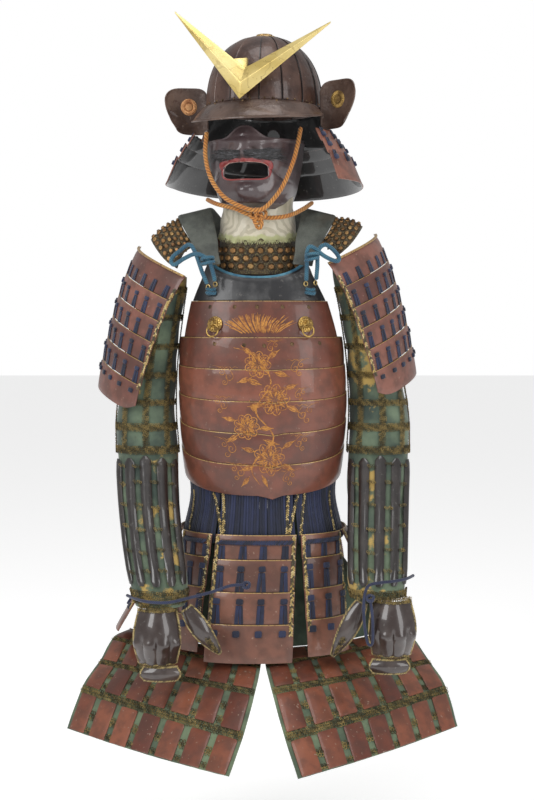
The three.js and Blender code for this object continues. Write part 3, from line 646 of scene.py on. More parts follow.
def stem(points_on, width=1.3):
    """A smooth line through a few points."""
    spots = np.asarray(points_on, float)
    at = read_rows([(i, *spot) for i, spot in enumerate(spots)])
    return [brushed(np.stack(at(np.linspace(0, len(spots) - 1, 12 * len(spots))), axis=1), width)]


middle = chest_form.wide * 0.497
scroll = []
for x, y, size in ((-6, -52, 1.5), (24, -118, 1.75), (-30, -172, 1.45), (14, -232, 1.8)):
    scroll += blossom(middle + x, y, size)
scroll += stem([(middle - 52, -20), (middle - 12, -34), (middle + 18, -84), (middle - 12, -142),
                (middle + 22, -190), (middle - 20, -250), (middle - 6, -284)], 1.8)
for x, y, turn, size in (
    (-16, -34, 140, 1.3), (14, -40, 35, 1.3), (26, -66, -20, 1.4), (-20, -78, 200, 1.3), (-2, -90, 160, 1.5),
    (44, -100, 20, 1.3), (48, -132, -30, 1.4), (2, -128, 190, 1.4), (-10, -146, 120, 1.3), (-52, -160, 170, 1.2),
    (-46, -188, 215, 1.4), (-6, -176, 10, 1.3), (4, -196, -15, 1.4), (40, -214, 30, 1.3), (38, -246, -25, 1.4),
    (-14, -220, 165, 1.3), (-16, -248, 200, 1.4), (0, -266, -60, 1.2), (-26, -270, 230, 1.2),
):
    scroll += leaf(middle + x, y, turn, size)
for x, y, size, mirrored in (
    (-62, -76, 1.1, False), (66, -60, 1.0, True), (78, -150, 1.15, True), (-74, -132, 1.0, False),
    (-60, -216, 1.15, False), (72, -206, 1.0, True), (-44, -262, 1.0, False), (50, -274, 0.95, True),
    (20, -20, 0.8, True), (70, -112, 0.8, True),
):
    scroll += cloud(middle + x, y, size, mirrored)
scroll = np.concatenate(scroll)
scroll[:, 4] *= 1.3
scroll = scroll[scroll[:, 1] > -chest_form.deep + 6]


def brushed_gold(name):
    paint = Paint(name, roughness=0.42, metallic=0.35)
    rub = paint.noise(140.0, 4.0)
    paint.set(Base_Color=paint.blend(rub.band(0.42, 0.66), (0.50, 0.22, 0.045), (0.24, 0.085, 0.03)))
    paint.set(Roughness=0.36 + rub * 0.2)
    return paint.material


BRUSHED_GOLD = brushed_gold("brushed_gold")
scatter("gold_scroll", dash(), scroll, chest_form, BRUSHED_GOLD, "gilt", chest_lift)

# On the upper lame the gold is a spray of grass fanning up from the seam.
spray = []
foot = upper_form.wide * 0.5
for k in range(46):
    lean = -66 + 132 * ((k * 0.618) % 1)
    long = 30 + 18 * ((k * 0.377) % 1)
    a = math.radians(90 - lean)
    start = (foot + 0.5 * lean, -64 + 4 * ((k * 0.21) % 1))
    tip = (start[0] + long * 0.9 * math.cos(a), start[1] + long * math.sin(a) * 0.95)
    bow = (mix(start[0], tip[0], 0.5) - 2.5 * math.sin(a), mix(start[1], tip[1], 0.5) + 2)
    spray += stem([start, bow, tip], 1.5)
scatter("gold_spray", dash(), np.concatenate(spray), upper_form, BRUSHED_GOLD, "gilt")

# Rosettes and rings.
ROSETTE_Z, ROSETTE_DEGREES, ROSETTE_TURN = -218, 30, 24
EYE_OUT, EYE_HOLE, RING_RADIUS, RING_WIRE = 8, 3.6, 12, 1.5
SIDES = (("right", -1), ("left", 1))


def breast_place(sign):
    """Where a rosette's back meets the breast, with its face towards -Y before it is turned."""
    lean = math.atan2(trunk(ROSETTE_Z - 20)[2] - trunk(ROSETTE_Z + 20)[2], 40)
    spot = around(np.array(ROSETTE_Z), sign * ROSETTE_DEGREES, 2.6)
    turn = Matrix.Rotation(math.radians(sign * ROSETTE_TURN), 4, "Z") @ Matrix.Rotation(-lean, 4, "X")
    return Matrix.Scale(MM, 4) @ Matrix.Translation(spot) @ turn


def whole(name, work, place, finish, slot, body="armour", replaces=(), smooth=38):
    """Makes an object of work that is in millimetres, and puts it in its place."""
    bmesh.ops.transform(work, matrix=place, verts=work.verts)
    return bent(name, work, None, finish, slot, body, replaces, smooth)


def wheel(work, count, petal_long, petal_wide, start, high, depth=0.0, rounds=8):
    """Petals round the -Y axis, each a domed lozenge that starts at a radius."""
    for k in range(count):
        turn = Matrix.Rotation(2 * math.pi * k / count, 4, "Y")
        spot = Matrix.Translation((0, -depth, start + petal_long / 2))
        size = Matrix.Diagonal((petal_wide / 2, high, petal_long / 2, 1))
        bmesh.ops.create_uvsphere(work, u_segments=rounds, v_segments=6, radius=1, matrix=turn @ spot @ size)


def disc(work, radius, thick, depth=0.0, bevel=0.0, segments=40, cone=1.0):
    """A round plate that faces -Y."""
    place = Matrix.Translation((0, -depth - thick / 2, 0)) @ Matrix.Rotation(math.pi / 2, 4, "X")
    made = bmesh.ops.create_cone(work, cap_ends=True, segments=segments, radius1=radius,
                                 radius2=radius * cone, depth=thick, matrix=place)
    if bevel:
        rim = {e for v in made["verts"] for e in v.link_edges if e.calc_face_angle(0) > 0.8}
        bmesh.ops.bevel(work, geom=list(rim), offset=bevel, segments=3, profile=0.5, affect="EDGES", material=-1)


def hoop(work, radius, wire, place, around_steps=32, wire_steps=10):
    """A ring of round wire about the Y axis."""
    section = bmesh.ops.create_circle(work, segments=wire_steps, radius=wire,
                                      matrix=Matrix.Translation((radius, 0, 0)) @ Matrix.Rotation(0, 4, "X"))
    # the circle lies in the XY plane, square to its path round the Y axis' neighbour
    verts = section["verts"]
    edges = list({e for v in verts for e in v.link_edges})
    made = bmesh.ops.spin(work, geom=verts + edges, cent=(0, 0, 0), axis=(0, 1, 0), steps=around_steps,
                          angle=2 * math.pi, use_merge=True)
    new = {v for v in work.verts if v.is_valid and v.tag is False}
    return made, new


for side, sign in SIDES:
    place = breast_place(sign)
    work = new_work()
    disc(work, 15.5, 1.6, 0, 0.6)
    wheel(work, 14, 9.5, 5.6, 5.6, 2.2, 1.9)
    disc(work, 6.6, 2.2, 1.8, 0.8, 24)
    disc(work, EYE_HOLE + 2.2, 0.01, 0, 0, 8)
    bmesh.ops.delete(work, geom=[v for v in work.verts[-16:]], context="VERTS")
    bars = new_work()
    hoop(bars, (EYE_HOLE + 6) / 2, 1.2, None, 24, 8)
    bmesh.ops.rotate(bars, verts=bars.verts, cent=(0, 0, 0), matrix=Matrix.Rotation(math.pi / 2, 3, "Z"))
    bmesh.ops.translate(bars, verts=bars.verts, vec=(0, -EYE_OUT, 0))
    spare = bpy.data.meshes.new("spare")
    bars.to_mesh(spare)
    bars.free()
    work.from_mesh(spare)
    whole("rosette_flower_" + side, work, place, GILT, "gilt", replaces=["rosette_" + side])
    work = new_work()
    hoop(work, RING_RADIUS, RING_WIRE, None, 40, 10)
    drop = RING_WIRE + 0.3 - EYE_HOLE - RING_RADIUS
    bmesh.ops.translate(work, verts=work.verts, vec=(0, -EYE_OUT, drop))
    whole("swing_ring_" + side, work, place, GILT, "gilt", "ring_" + side, ["breast_ring_" + side])

# ---- Waist lacing --------------------------------------------------------------------------------
# Navy silk braid hangs the tassets from the lowest lame of the cuirass. The strands run close side by
# side, in one group for each tasset, with a narrow gap between the groups.

LACE_TOP, TASSET_TOP = -528, -622
TASSETS = [
    # name, from and to in degrees, flare, drop, spread, lean
    ("front", -30, 20, 55, 236, 0.1, -14),
    ("front_right", -68, -33, 42, 225, 0.02, -2),
    ("front_left", 23, 64, 62, 222, 0.06, -26),
    ("side_right", -112, -71, 134, 205, 0.1, 0),
    ("side_left", 67, 112, 116, 205, 0.1, 0),
    ("back_right", -177, -115, 88, 215, 0.2, 0),
    ("back_left", 115, 177, 88, 215, 0.2, 0),
]


def waist_surface(u, v):
    return around(mix(LACE_TOP, TASSET_TOP - 12, v), mix(-180, 180, u), mix(-8, -5, v))


def x_at(form, u):
    return np.interp(u, form.us, form.lengths)


def strand(steps=4, sides=6, flat=1.0):
    """A round cord one millimetre long and thick, lying along x with its lowest side at z = 0."""
    work = new_work()
    lie = Matrix.Translation((0, 0, 0.5)) @ Matrix.Rotation(math.pi / 2, 4, "Y")
    made = bmesh.ops.create_cone(work, cap_ends=True, segments=sides, radius1=0.5, radius2=0.5, depth=1, matrix=lie)
    length = [e for e in work.edges if abs((e.verts[0].co - e.verts[1].co).x) > 0.9]
    if steps > 1:
        bmesh.ops.subdivide_edges(work, edges=length, cuts=steps - 1)
    cut = work.loops.layers.uv["Cut"]
    for face in work.faces:
        for loop in face.loops:
            spot = loop.vert.co
            loop[cut].uv = (spot.x, math.atan2(spot.y, spot.z - 0.5) / math.pi)
    return work


def silk_lace(name, dark, light, twist=1.5):
    """Flat silk braid, with the slant of its plait across it and a worn bloom in clouds that differs from piece to
    piece.
    """
    paint = Paint(name, roughness=0.72, sheen=0.25)
    along, aside = paint.uv()
    own, _ = paint.uv("Piece")
    slant = (along * (6.28 / twist) + aside * 1.4).math("SINE") * 0.5 + 0.5
    worn = paint.noise(90.0, 4.0) * 0.5 + own * 0.5
    colour = paint.blend(worn.band(0.3, 0.75), dark, light)
    paint.set(Base_Color=paint.blend(slant * 0.35, colour, dark), Normal=paint.bump(slant, 0.35))
    return paint.material


NAVY_SILK = silk_lace("navy_silk_lace", (0.005, 0.008, 0.024), (0.017, 0.025, 0.075))


def braid_silk(name):
    """Each stitch is cream, gold or dark."""
    paint = Paint(name, roughness=0.65, sheen=0.2)
    own, other = paint.uv("Piece")
    along, aside = paint.uv()
    pick = paint.ramp(own, (0.0, (0.62, 0.50, 0.25)), (0.42, (0.45, 0.30, 0.08)), (0.72, (0.06, 0.05, 0.025)))
    slant = (along * 5.0 + aside * 1.2).math("SINE") * 0.5 + 0.5
    dirt = paint.noise(160.0, 4.0).band(0.5, 0.75)
    paint.set(Base_Color=paint.blend(dirt * 0.6, pick, (0.09, 0.06, 0.03)), Normal=paint.bump(slant, 0.3))
    return paint.material


BRAID_SILK = braid_silk("edge_braid_silk")


def braid_run(start, end, width=7.0, base=0.0, pitch=4.4):
    """Spots for a plait of slanted stitches from one place to the other."""
    start, end = np.asarray(start, float), np.asarray(end, float)
    run = end - start
    long = np.linalg.norm(run)
    heading, side = run / long, np.array([-run[1], run[0]]) / long
    turn = math.degrees(math.atan2(run[1], run[0]))
    spots = []
    for k in range(int(long / pitch)):
        middle = start + heading * (k + 0.5) * pitch
        for hand in (-1, 1):
            x, y = middle + side * hand * width * 0.22
            spots.append((x, y, turn + hand * 38, width * 0.82, width * 0.42, width * 0.32, base))
    return spots


waist_form = Form(waist_surface)
steady = random.Random(7)
spots = []
for name, start, end, *_ in TASSETS:
    low, high = (x_at(waist_form, (degrees + 180) / 360) for degrees in (start - 0.6, end + 0.6))
    count = int((high - low) / 5.0)
    for k in range(count):
        x = low + (k + 0.5) * (high - low) / count
        slack = steady.uniform(-1, 1)
        spots.append((x + 0.5 * slack, -58, -90 + 0.7 * slack, 112, 5.3, 3.6, -3.4 + 0.8 * steady.random()))
scatter("waist_strands", strand(9), spots, waist_form, NAVY_SILK, "navy_silk", replaces=["waist_lacing"])

# Cream and gold braids run down from the cuirass to the corners of the front tassets.
spots = []
for x_top, x_low in ((-38, -26), (-29, -25), (17, 14), (25, 15), (31, 24), (-68, -64), (62, 60)):
    top, low = (x_at(waist_form, (degrees + 180) / 360) for degrees in (x_top, x_low))
    spots += braid_run((top, -16), (low, -99), 5.6, 0.6)
scatter("waist_braids", strand(1), spots, waist_form, BRAID_SILK, "brocade")

# ---- Tassets -------------------------------------------------------------------------------------
# Seven skirts of four lames each, of lacquered rawhide. Pairs of navy strands rise from each lame to
# the next, tied down in small square knots, and a braid of cream and gold binds each side edge.

LAME_CUTS = (0, 0.195, 0.45, 0.70, 1)
TASSET_STEP = 3.5


def cut_lift(form, cuts, step, swell=0.6):
    """As lame_lift, for lames of unequal depth."""

    def lift(y):
        v = np.clip(-y / form.deep, 0, 1 - 1e-6)
        k = np.clip(np.searchsorted(cuts, v, side="right") - 1, 0, len(cuts) - 2)
        low, high = np.asarray(cuts)[k], np.asarray(cuts)[k + 1]
        share = (v - low) / (high - low)
        return step * (1 - share) + swell * np.sin(np.pi * share)

    return lift


def cut_lames(name, form, cuts, step, finish, slot, replaces, across=12, hem=None):
    """One object of lames, each from one cut to the next."""
    work = new_work()
    lift = cut_lift(form, cuts, step)
    for k, (low, high) in enumerate(zip(cuts, cuts[1:])):
        top, deep = -low * form.deep, (high - low) * form.deep

        def shape(co, top=top, deep=deep, last=k == len(cuts) - 2):
            inside = Vector((co.x, np.clip(co.y, top - deep + 0.6, top - 0.01), 0))
            z = co.z + float(lift(inside.y))
            y = co.y
            if last and hem:
                y = top + (co.y - top) * hem(co.x / form.wide)
            return Vector((co.x, y, z))

        plate(work, 0, top, form.wide, deep - 0.5, LAME_THICK, across, 4, shape, base=-LAME_THICK)
    soften(work, 0.7)
    return bent(name, work, form, finish, slot, replaces=replaces)


def lacing(form, cuts, columns, knot=(13, 11), strands=5.2, first=0.45):
    """Spots of the knots and the strands on a stack of lames. The first lame has strands alone."""
    knots, strands_at = [], []
    for k, (low, high) in enumerate(zip(cuts, cuts[1:])):
        top, deep = -low * form.deep, (high - low) * form.deep
        last = k == len(cuts) - 2
        for share in columns:
            x = share * form.wide + steady.uniform(-1.5, 1.5)
            if k:
                drop = top - 12 - knot[1] / 2
                knots.append((x, drop, steady.uniform(-4, 4), knot[0], knot[1] * (1.15 if last else 1), 4.4, 0))
            if not last:
                start = top - deep * first if not k else top - 12 - knot[1] - 1.5
                long = start - (top - deep) - 1
                for hand in (-1, 1):
                    lean = steady.uniform(0.01, 0.07)
                    for pair, lifted in ((0.5, 2.6), (1.0, 2.2)):
                        aside = hand * strands * (0.5 + 0.5 * (pair == 1.0))
                        strands_at.append((
                            x + aside * 0.85 + hand * lean * long * pair * 0.5, start - long / 2,
                            -90 + hand * math.degrees(lean) * pair * 1.4, long, strands * 0.86, lifted, 0,
                        ))
    return knots, strands_at


def knot_head():
    """A square knot: a low cushion of two crossed strands."""
    work = new_work()
    made = bmesh.ops.create_cube(work, size=1, matrix=Matrix.Translation((0, 0, 0.4)) @ Matrix.Diagonal((1, 1, 0.8, 1)))
    top = [f for f in work.faces if f.normal.z > 0.9]
    bmesh.ops.inset_individual(work, faces=top, thickness=0.2, depth=0.2)
    edges = [e for e in work.edges if abs((e.verts[0].co - e.verts[1].co).z) > 0.5]
    bmesh.ops.bevel(work, geom=edges, offset=0.2, segments=2, profile=0.5, affect="EDGES", material=-1)
    return work


def tasset_surface(start, end, flare, drop, spread, lean):
    middle = (start + end) / 2
    centre = around(TASSET_TOP, middle)
    tangent = around(TASSET_TOP, middle + 1) - around(TASSET_TOP, middle - 1)
    tangent /= np.linalg.norm(tangent)
    out = np.array([tangent[1], -tangent[0], 0])

    def surface(u, v):
        top = around(np.full(np.shape(u), TASSET_TOP), mix(start, end, u))
        v = np.asarray(v)[..., None]
        spot = top + (top - centre) * spread * v + tangent * lean * v + out * flare * v
        spot[..., 2] = TASSET_TOP - drop * v[..., 0]
        return spot

    return surface


RAW_LACQUER = lacquer("tasset_lacquer", (0.115, 0.045, 0.032), (0.23, 0.095, 0.06), gilt_edge=1.6, wear=0.9)
for name, *sizes in TASSETS:
    form = Form(tasset_surface(*sizes))
    cut_lames("tasset_lames_" + name, form, LAME_CUTS, TASSET_STEP, RAW_LACQUER, "russet_lacquer", ["tasset_" + name])
    lift = cut_lift(form, LAME_CUTS, TASSET_STEP)
    columns = (0.10, 0.36, 0.61, 0.87) if name == "front" else np.linspace(0.12, 0.88, round(form.wide / 46) + 1)
    knots, strands_at = lacing(form, LAME_CUTS, columns)
    scatter("tasset_knots_" + name, knot_head(), knots, form, NAVY_SILK, "navy_silk", lift)
    rope = [(x, -15, 38, 10.5, 5.4, 4.6, 0) for x in np.arange(12, form.wide - 11, 5.0)]
    scatter("tasset_strands_" + name, strand(3), strands_at + rope, form, NAVY_SILK, "navy_silk", lift)
    braids = []
    low = -LAME_CUTS[3] * form.deep - 24
    for x in (5.5, form.wide - 5.5):
        braids += braid_run((x, -3), (x, low), 7.0)
    scatter("tasset_braids_" + name, strand(1), braids, form, BRAID_SILK, "brocade", lift)

# ---- Thigh guards --------------------------------------------------------------------------------
# A green silk apron hangs behind the tassets. Two panels of small lacquered plates joined by bands of
# mail are sewn to its hem, and lie forward over the thighs.

APRON_TOP, APRON_HIP, APRON_SHARE = -575, -640, 0.25


def thigh_top(u):
    return points(5 + 268 * u, -100 + 140 * u ** 2.2, -850 + 6 * u)


THIGH_EDGES = {
    # v, inner x, y, z, outer x, y, z
    "right": read_rows([
        (0, -5, -100, -850, -273, 40, -844),
        (0.25, -4, -160, -866, -304, 12, -854),
        (0.5, -13, -240, -890, -324, -45, -886),
        (0.75, -33, -325, -944, -350, -105, -920),
        (1, -58, -400, -996, -374, -160, -988),
    ]),
    "left": read_rows([
        (0, 5, -100, -850, 273, 40, -844),
        (0.25, 5, -160, -864, 302, 12, -852),
        (0.5, 16, -240, -888, 330, -45, -886),
        (0.75, 38, -325, -946, 356, -105, -922),
        (1, 62, -400, -1000, 372, -160, -984),
    ]),
}


def thigh_surface(side):
    def surface(u, v):
        u = 1 - u if side == "right" else u
        inner_x, inner_y, inner_z, outer_x, outer_y, outer_z = THIGH_EDGES[side](v)
        bulge = 4 * u * (1 - u) * v
        top_y = -100 + 140 * np.clip(u, 0, None) ** 2.2
        y = mix(inner_y, outer_y, u) - 12 * bulge + (top_y - mix(-100, 40, u)) * (1 - v) ** 2
        return points(mix(inner_x, outer_x, u), y, mix(inner_z, outer_z, u) + 12 * bulge * (1 - v))

    return surface


def cloth_shell(name, form, finish, slot, across, down, thick, crease=None, closed=False, replaces=()):
    """A thin sheet of cloth on its form, with its creases pressed in."""
    work = new_work()
    plate(work, 0, 0, form.wide, form.deep, thick, across, down, crease, base=-thick)
    if closed:
        bmesh.ops.remove_doubles(work, verts=work.verts, dist=0)
    return bent(name, work, form, finish, slot, replaces=replaces, smooth=60)


def flat_size(form):
    """The size in metres that a sheet was cut to, before it was hung."""
    across = form.surface(form.us, np.full(len(form.us), 1.0))
    widest = max(form.wide, np.linalg.norm(np.diff(across, axis=0), axis=1).sum())
    longest = max(form.deep, max(np.linalg.norm(np.diff(form.surface(np.full(60, u), np.linspace(0, 1, 60)), axis=0),
                                                axis=1).sum() for u in (0.0, 0.25, 0.75, 1.0)))
    return (widest * MM, longest * MM)


def cloth_area(form):
    """The area in square metres of a form's whole surface."""
    u, v = np.meshgrid(np.linspace(0, 1, 90), np.linspace(0, 1, 90))
    spots = form.surface(u.ravel(), v.ravel()).reshape(90, 90, 3)
    across, down = np.diff(spots, axis=1)[:-1], np.diff(spots, axis=0)[:, :-1]
    return float(np.linalg.norm(np.cross(across, down), axis=2).sum()) * MM * MM


def worn_silk(name, dark, light, worn, worn_share=(0.62, 0.7), weave=1400.0):
    """Silk over a hemp lining: faded in clouds, worn through to the ochre ground, with a fine weave."""
    paint = Paint(name, roughness=0.75, sheen=0.3)
    fade = paint.noise(14.0, 5.0).band(0.3, 0.7)
    through = paint.noise(11.0, 6.0, roughness=0.65).band(*worn_share)
    colour = paint.blend(through, paint.blend(fade, dark, light), worn)
    dirt = paint.noise(70.0, 5.0).band(0.55, 0.8)
    thread = paint.node("ShaderNodeTexWave", {"bands_direction": "DIAGONAL"},
                        {"Vector": paint.place(), "Scale": weave / 6, "Distortion": 1.5}, "Fac")
    paint.set(Base_Color=paint.blend(dirt * 0.5, colour, (0.05, 0.055, 0.035)))
    paint.set(Normal=paint.bump(thread, 0.08, paint.bump(paint.noise(180.0, 4.0), 0.5)))
    return paint.material


THIGH_SILK = worn_silk("thigh_silk", (0.055, 0.085, 0.05), (0.16, 0.215, 0.12), (0.33, 0.27, 0.11), (0.68, 0.76))


def mail_rings():
    """Two rings of a mail, one millimetre across, each leaning into the other."""
    work = new_work()
    for k, (x, lean) in enumerate(((-0.25, 24), (0.25, -24))):
        ring = bmesh.ops.create_circle(work, segments=4, radius=0.09,
                                       matrix=Matrix.Translation((0.36, 0, 0)) @ Matrix.Rotation(math.pi / 2, 4, "X"))
        verts = ring["verts"]
        edges = list({e for v in verts for e in v.link_edges})
        spun = bmesh.ops.spin(work, geom=verts + edges, cent=(0, 0, 0), axis=(0, 0, 1), steps=8,
                              angle=2 * math.pi, use_merge=True)
        fresh = [v for v in work.verts if not v.tag]
        place = Matrix.Translation((x, 0.25 * (1 - 2 * k), 0.25)) @ Matrix.Rotation(math.radians(lean), 4, "Y")
        bmesh.ops.transform(work, matrix=place, verts=fresh)
        for vert in work.verts:
            vert.tag = True
    return work


def mail_metal(name):
    paint = Paint(name, roughness=0.5, metallic=0.5)
    own, other = paint.uv("Piece")
    tarnish = own * 0.6 + paint.noise(120.0, 3.0) * 0.4
    colour = paint.ramp(tarnish, (0.0, (0.016, 0.014, 0.010)), (0.4, (0.085, 0.066, 0.030)), (0.75, (0.33, 0.24, 0.085)))
    paint.set(Base_Color=colour, Roughness=0.4 + other * 0.3)
    return paint.material


MAIL = mail_metal("dark_mail")


def mail_band(x0, y0, x1, y1, wide, ring=6.4, base=0.0):
    """Spots of the mail along a band from one place to the other."""
    run = math.hypot(x1 - x0, y1 - y0)
    turn = math.atan2(y1 - y0, x1 - x0)
    rows, count = max(1, round(wide / (ring * 0.78))), max(1, round(run / (ring * 0.78)))
    spots = []
    for i in range(count):
        for j in range(rows):
            a = (i + 0.5 + 0.25 * (j % 2)) * run / count
            b = (j + 0.5 - rows / 2) * wide / rows
            x, y = x0 + a * math.cos(turn) - b * math.sin(turn), y0 + a * math.sin(turn) + b * math.cos(turn)
            spots.append((x, y, math.degrees(turn) + steady.uniform(-25, 25), ring, ring, ring, base))
    return spots


THIGH_ROWS, THIGH_ACROSS = 4, 7
PLATE_LACQUER = lacquer("thigh_plate_lacquer", (0.125, 0.032, 0.018), (0.27, 0.085, 0.042), gilt_edge=0.0, wear=1.0)
for side, sign in SIDES:
    form = Form(thigh_surface(side))
    cell_wide, cell_deep = form.wide / THIGH_ACROSS, form.deep / THIGH_ROWS

    def puff(co):
        x, y = co.x / cell_wide, -co.y / cell_deep
        fold = 0.8 * math.sin(2 * math.pi * x) * math.sin(5 * x + 2 * y) + 0.5 * math.sin(9 * y + 3 * x)
        return Vector((co.x, co.y, co.z + fold * 0.6))

    cloth = cloth_shell("thigh_cloth_" + side, form, THIGH_SILK, "green_silk", 70, 60, 1.6, puff,
                        replaces=["thigh_panel_" + side])
    flat_size(form)
    cloth_area(form)
    work = new_work()
    for row in range(THIGH_ROWS):
        for column in range(THIGH_ACROSS):
            wide = cell_wide * (0.73 + 0.03 * steady.random())
            deep = cell_deep * (0.80 + 0.02 * steady.random())
            left = (column + 0.5) * cell_wide - wide / 2 + steady.uniform(-1, 1)
            top = -row * cell_deep - cell_deep * 0.185 + steady.uniform(-0.8, 0.8)

            def dome(co, left=left, top=top, wide=wide, deep=deep):
                x, y = 2 * (co.x - left) / wide - 1, 2 * (top - co.y) / deep - 1
                return Vector((co.x, co.y, co.z + 1.6 * (1 - x * x) * (1 - 0.3 * y * y)))

            plate(work, left, top, wide, deep, 1.8, 6, 8, dome, base=0.5, corner=3.2)
    soften(work, 0.6, 60)
    bent("thigh_plates_" + side, work, form, PLATE_LACQUER, "russet_lacquer")
    mail = []
    for row in range(THIGH_ROWS):
        y = -row * cell_deep - cell_deep * 0.09
        mail += mail_band(2, y, form.wide - 2, y, 12)
        for column in range(THIGH_ACROSS - 1):
            x = (column + 1) * cell_wide
            for share in (0.45, 0.78):
                mail += mail_band(x - 6, y - cell_deep * share, x + 6, y - cell_deep * share, 9)
    scatter("thigh_mail_" + side, mail_rings(), mail, form, MAIL, "russet_iron")

# The apron's own cloth.


def apron_surface(u, v):
    side = 2 * u - 1
    turn = np.radians(side * 92)
    hip_x, hip_y = 132 * np.sin(turn), -96 * np.cos(turn)
    upper = np.clip(v / APRON_SHARE, None, 1)
    lower = np.clip((v - APRON_SHARE) / (1 - APRON_SHARE), 0, None)
    hem = thigh_top(np.clip(np.abs(side), 0, None))
    x = mix(hip_x, np.sign(side) * (hem[..., 0] - 5), lower)
    y = mix(hip_y, hem[..., 1], lower)
    z = mix(mix(APRON_TOP, APRON_HIP, upper), hem[..., 2] + 2.6, lower)
    return points(x, y, z)


apron_form = Form(apron_surface)


def apron_folds(co):
    share = -co.y / apron_form.deep
    fold = 2.0 * math.sin(co.x / 23 + 1.3 * math.sin(co.x / 61)) * min(1, 1.6 * max(0, share - 0.22))
    fade = min(1, (1 - share) * 9)
    return Vector((co.x, co.y, co.z + (fold - 2.0) * fade * min(1, share * 6)))


APRON_SILK = worn_silk("apron_silk", (0.045, 0.075, 0.05), (0.11, 0.16, 0.10), (0.25, 0.21, 0.09), (0.74, 0.8))
apron = cloth_shell("thigh_apron_cloth", apron_form, APRON_SILK, "green_silk", 120, 24, 1.6, apron_folds,
                    replaces=["thigh_apron"])
flat_size(apron_form)
cloth_area(apron_form)

# ---- Armoured sleeves ----------------------------------------------------------------------------
# Each sleeve is a tube of green silk on hemp. Mail covers the upper arm in a grid with silk showing in
# its cells, long lacquered splints guard the forearm, and gold-laced mail closes round the wrist.

sleeve_rows = read_rows([
    # z, x right, x left, y, half width, half depth
    (-100, -184, 172, 4, 36, 46),
    (-190, -208, 202, 4, 48, 52),
    (-290, -224, 220, 2, 52, 55),
    (-390, -233, 231, -4, 58, 57),
    (-470, -229, 229, -25, 61, 55),
    (-550, -222, 224, -76, 59, 53),
    (-630, -209, 218, -138, 57, 50),
    (-700, -195, 214, -190, 54, 45),
    (-746, -190, 216, -214, 46, 34),
])
CUFF = {"right": -738, "left": -722}
SPLINT_TOP, SPLINT_HEM, SPLINT_ROUND, SPLINT_OFF = -478, -704, 1.35, 4.6


def sleeve_point(side, angle, z, grow=0.0):
    right, left, y, half, deep = sleeve_rows(z)
    x = right if side == "right" else left
    return points(x + (half + grow) * np.sin(angle), y - (deep + grow) * np.cos(angle), z)


def sleeve_surface(side):
    top = -112 + (-13 if side == "right" else 13)

    def surface(u, v):
        return sleeve_point(side, 2 * np.pi * (u - 0.5), mix(top, CUFF[side], v))

    return surface


def splint_surface(side):
    def surface(u, v):
        return sleeve_point(side, SPLINT_ROUND * (2 * u - 1), mix(SPLINT_TOP, SPLINT_HEM, v), SPLINT_OFF)

    return surface


def tube_shell(name, form, finish, slot, across, down, thick, crease, replaces=()):
    """A closed tube of thin cloth on its form, joined down the back."""
    work = new_work()
    place = Matrix.Translation((form.wide / 2, -form.deep / 2, 0)) @ Matrix.Diagonal((form.wide, form.deep, 1, 1))
    bmesh.ops.create_grid(work, x_segments=across, y_segments=down, size=0.5, matrix=place)
    mark(work, work.faces, 0, 0)
    for vert in work.verts:
        vert.co = crease(vert.co)
    flat = np.array([vert.co[:] for vert in work.verts])
    for vert, spot in zip(work.verts, form.bend(flat)):
        vert.co = spot
    bmesh.ops.remove_doubles(work, verts=work.verts, dist=1e-5)
    piece = bent(name, work, None, finish, slot, replaces=replaces, smooth=60)
    wall = piece.modifiers.new("wall", "SOLIDIFY")
    wall.thickness, wall.offset = thick * MM, -1
    return piece


SLEEVE_SILK = worn_silk("sleeve_silk", (0.026, 0.046, 0.036), (0.135, 0.185, 0.115), (0.46, 0.31, 0.085), (0.555, 0.61))
SPLINT_LACQUER = black_lacquer("splint_lacquer", (0.014, 0.010, 0.009), (0.050, 0.038, 0.032))
SPLINT_LACQUER.node_tree.nodes["Principled BSDF"].inputs["Coat Weight"].default_value = 0.8
GOLD_MAIL = mail_metal("gold_laced_mail")

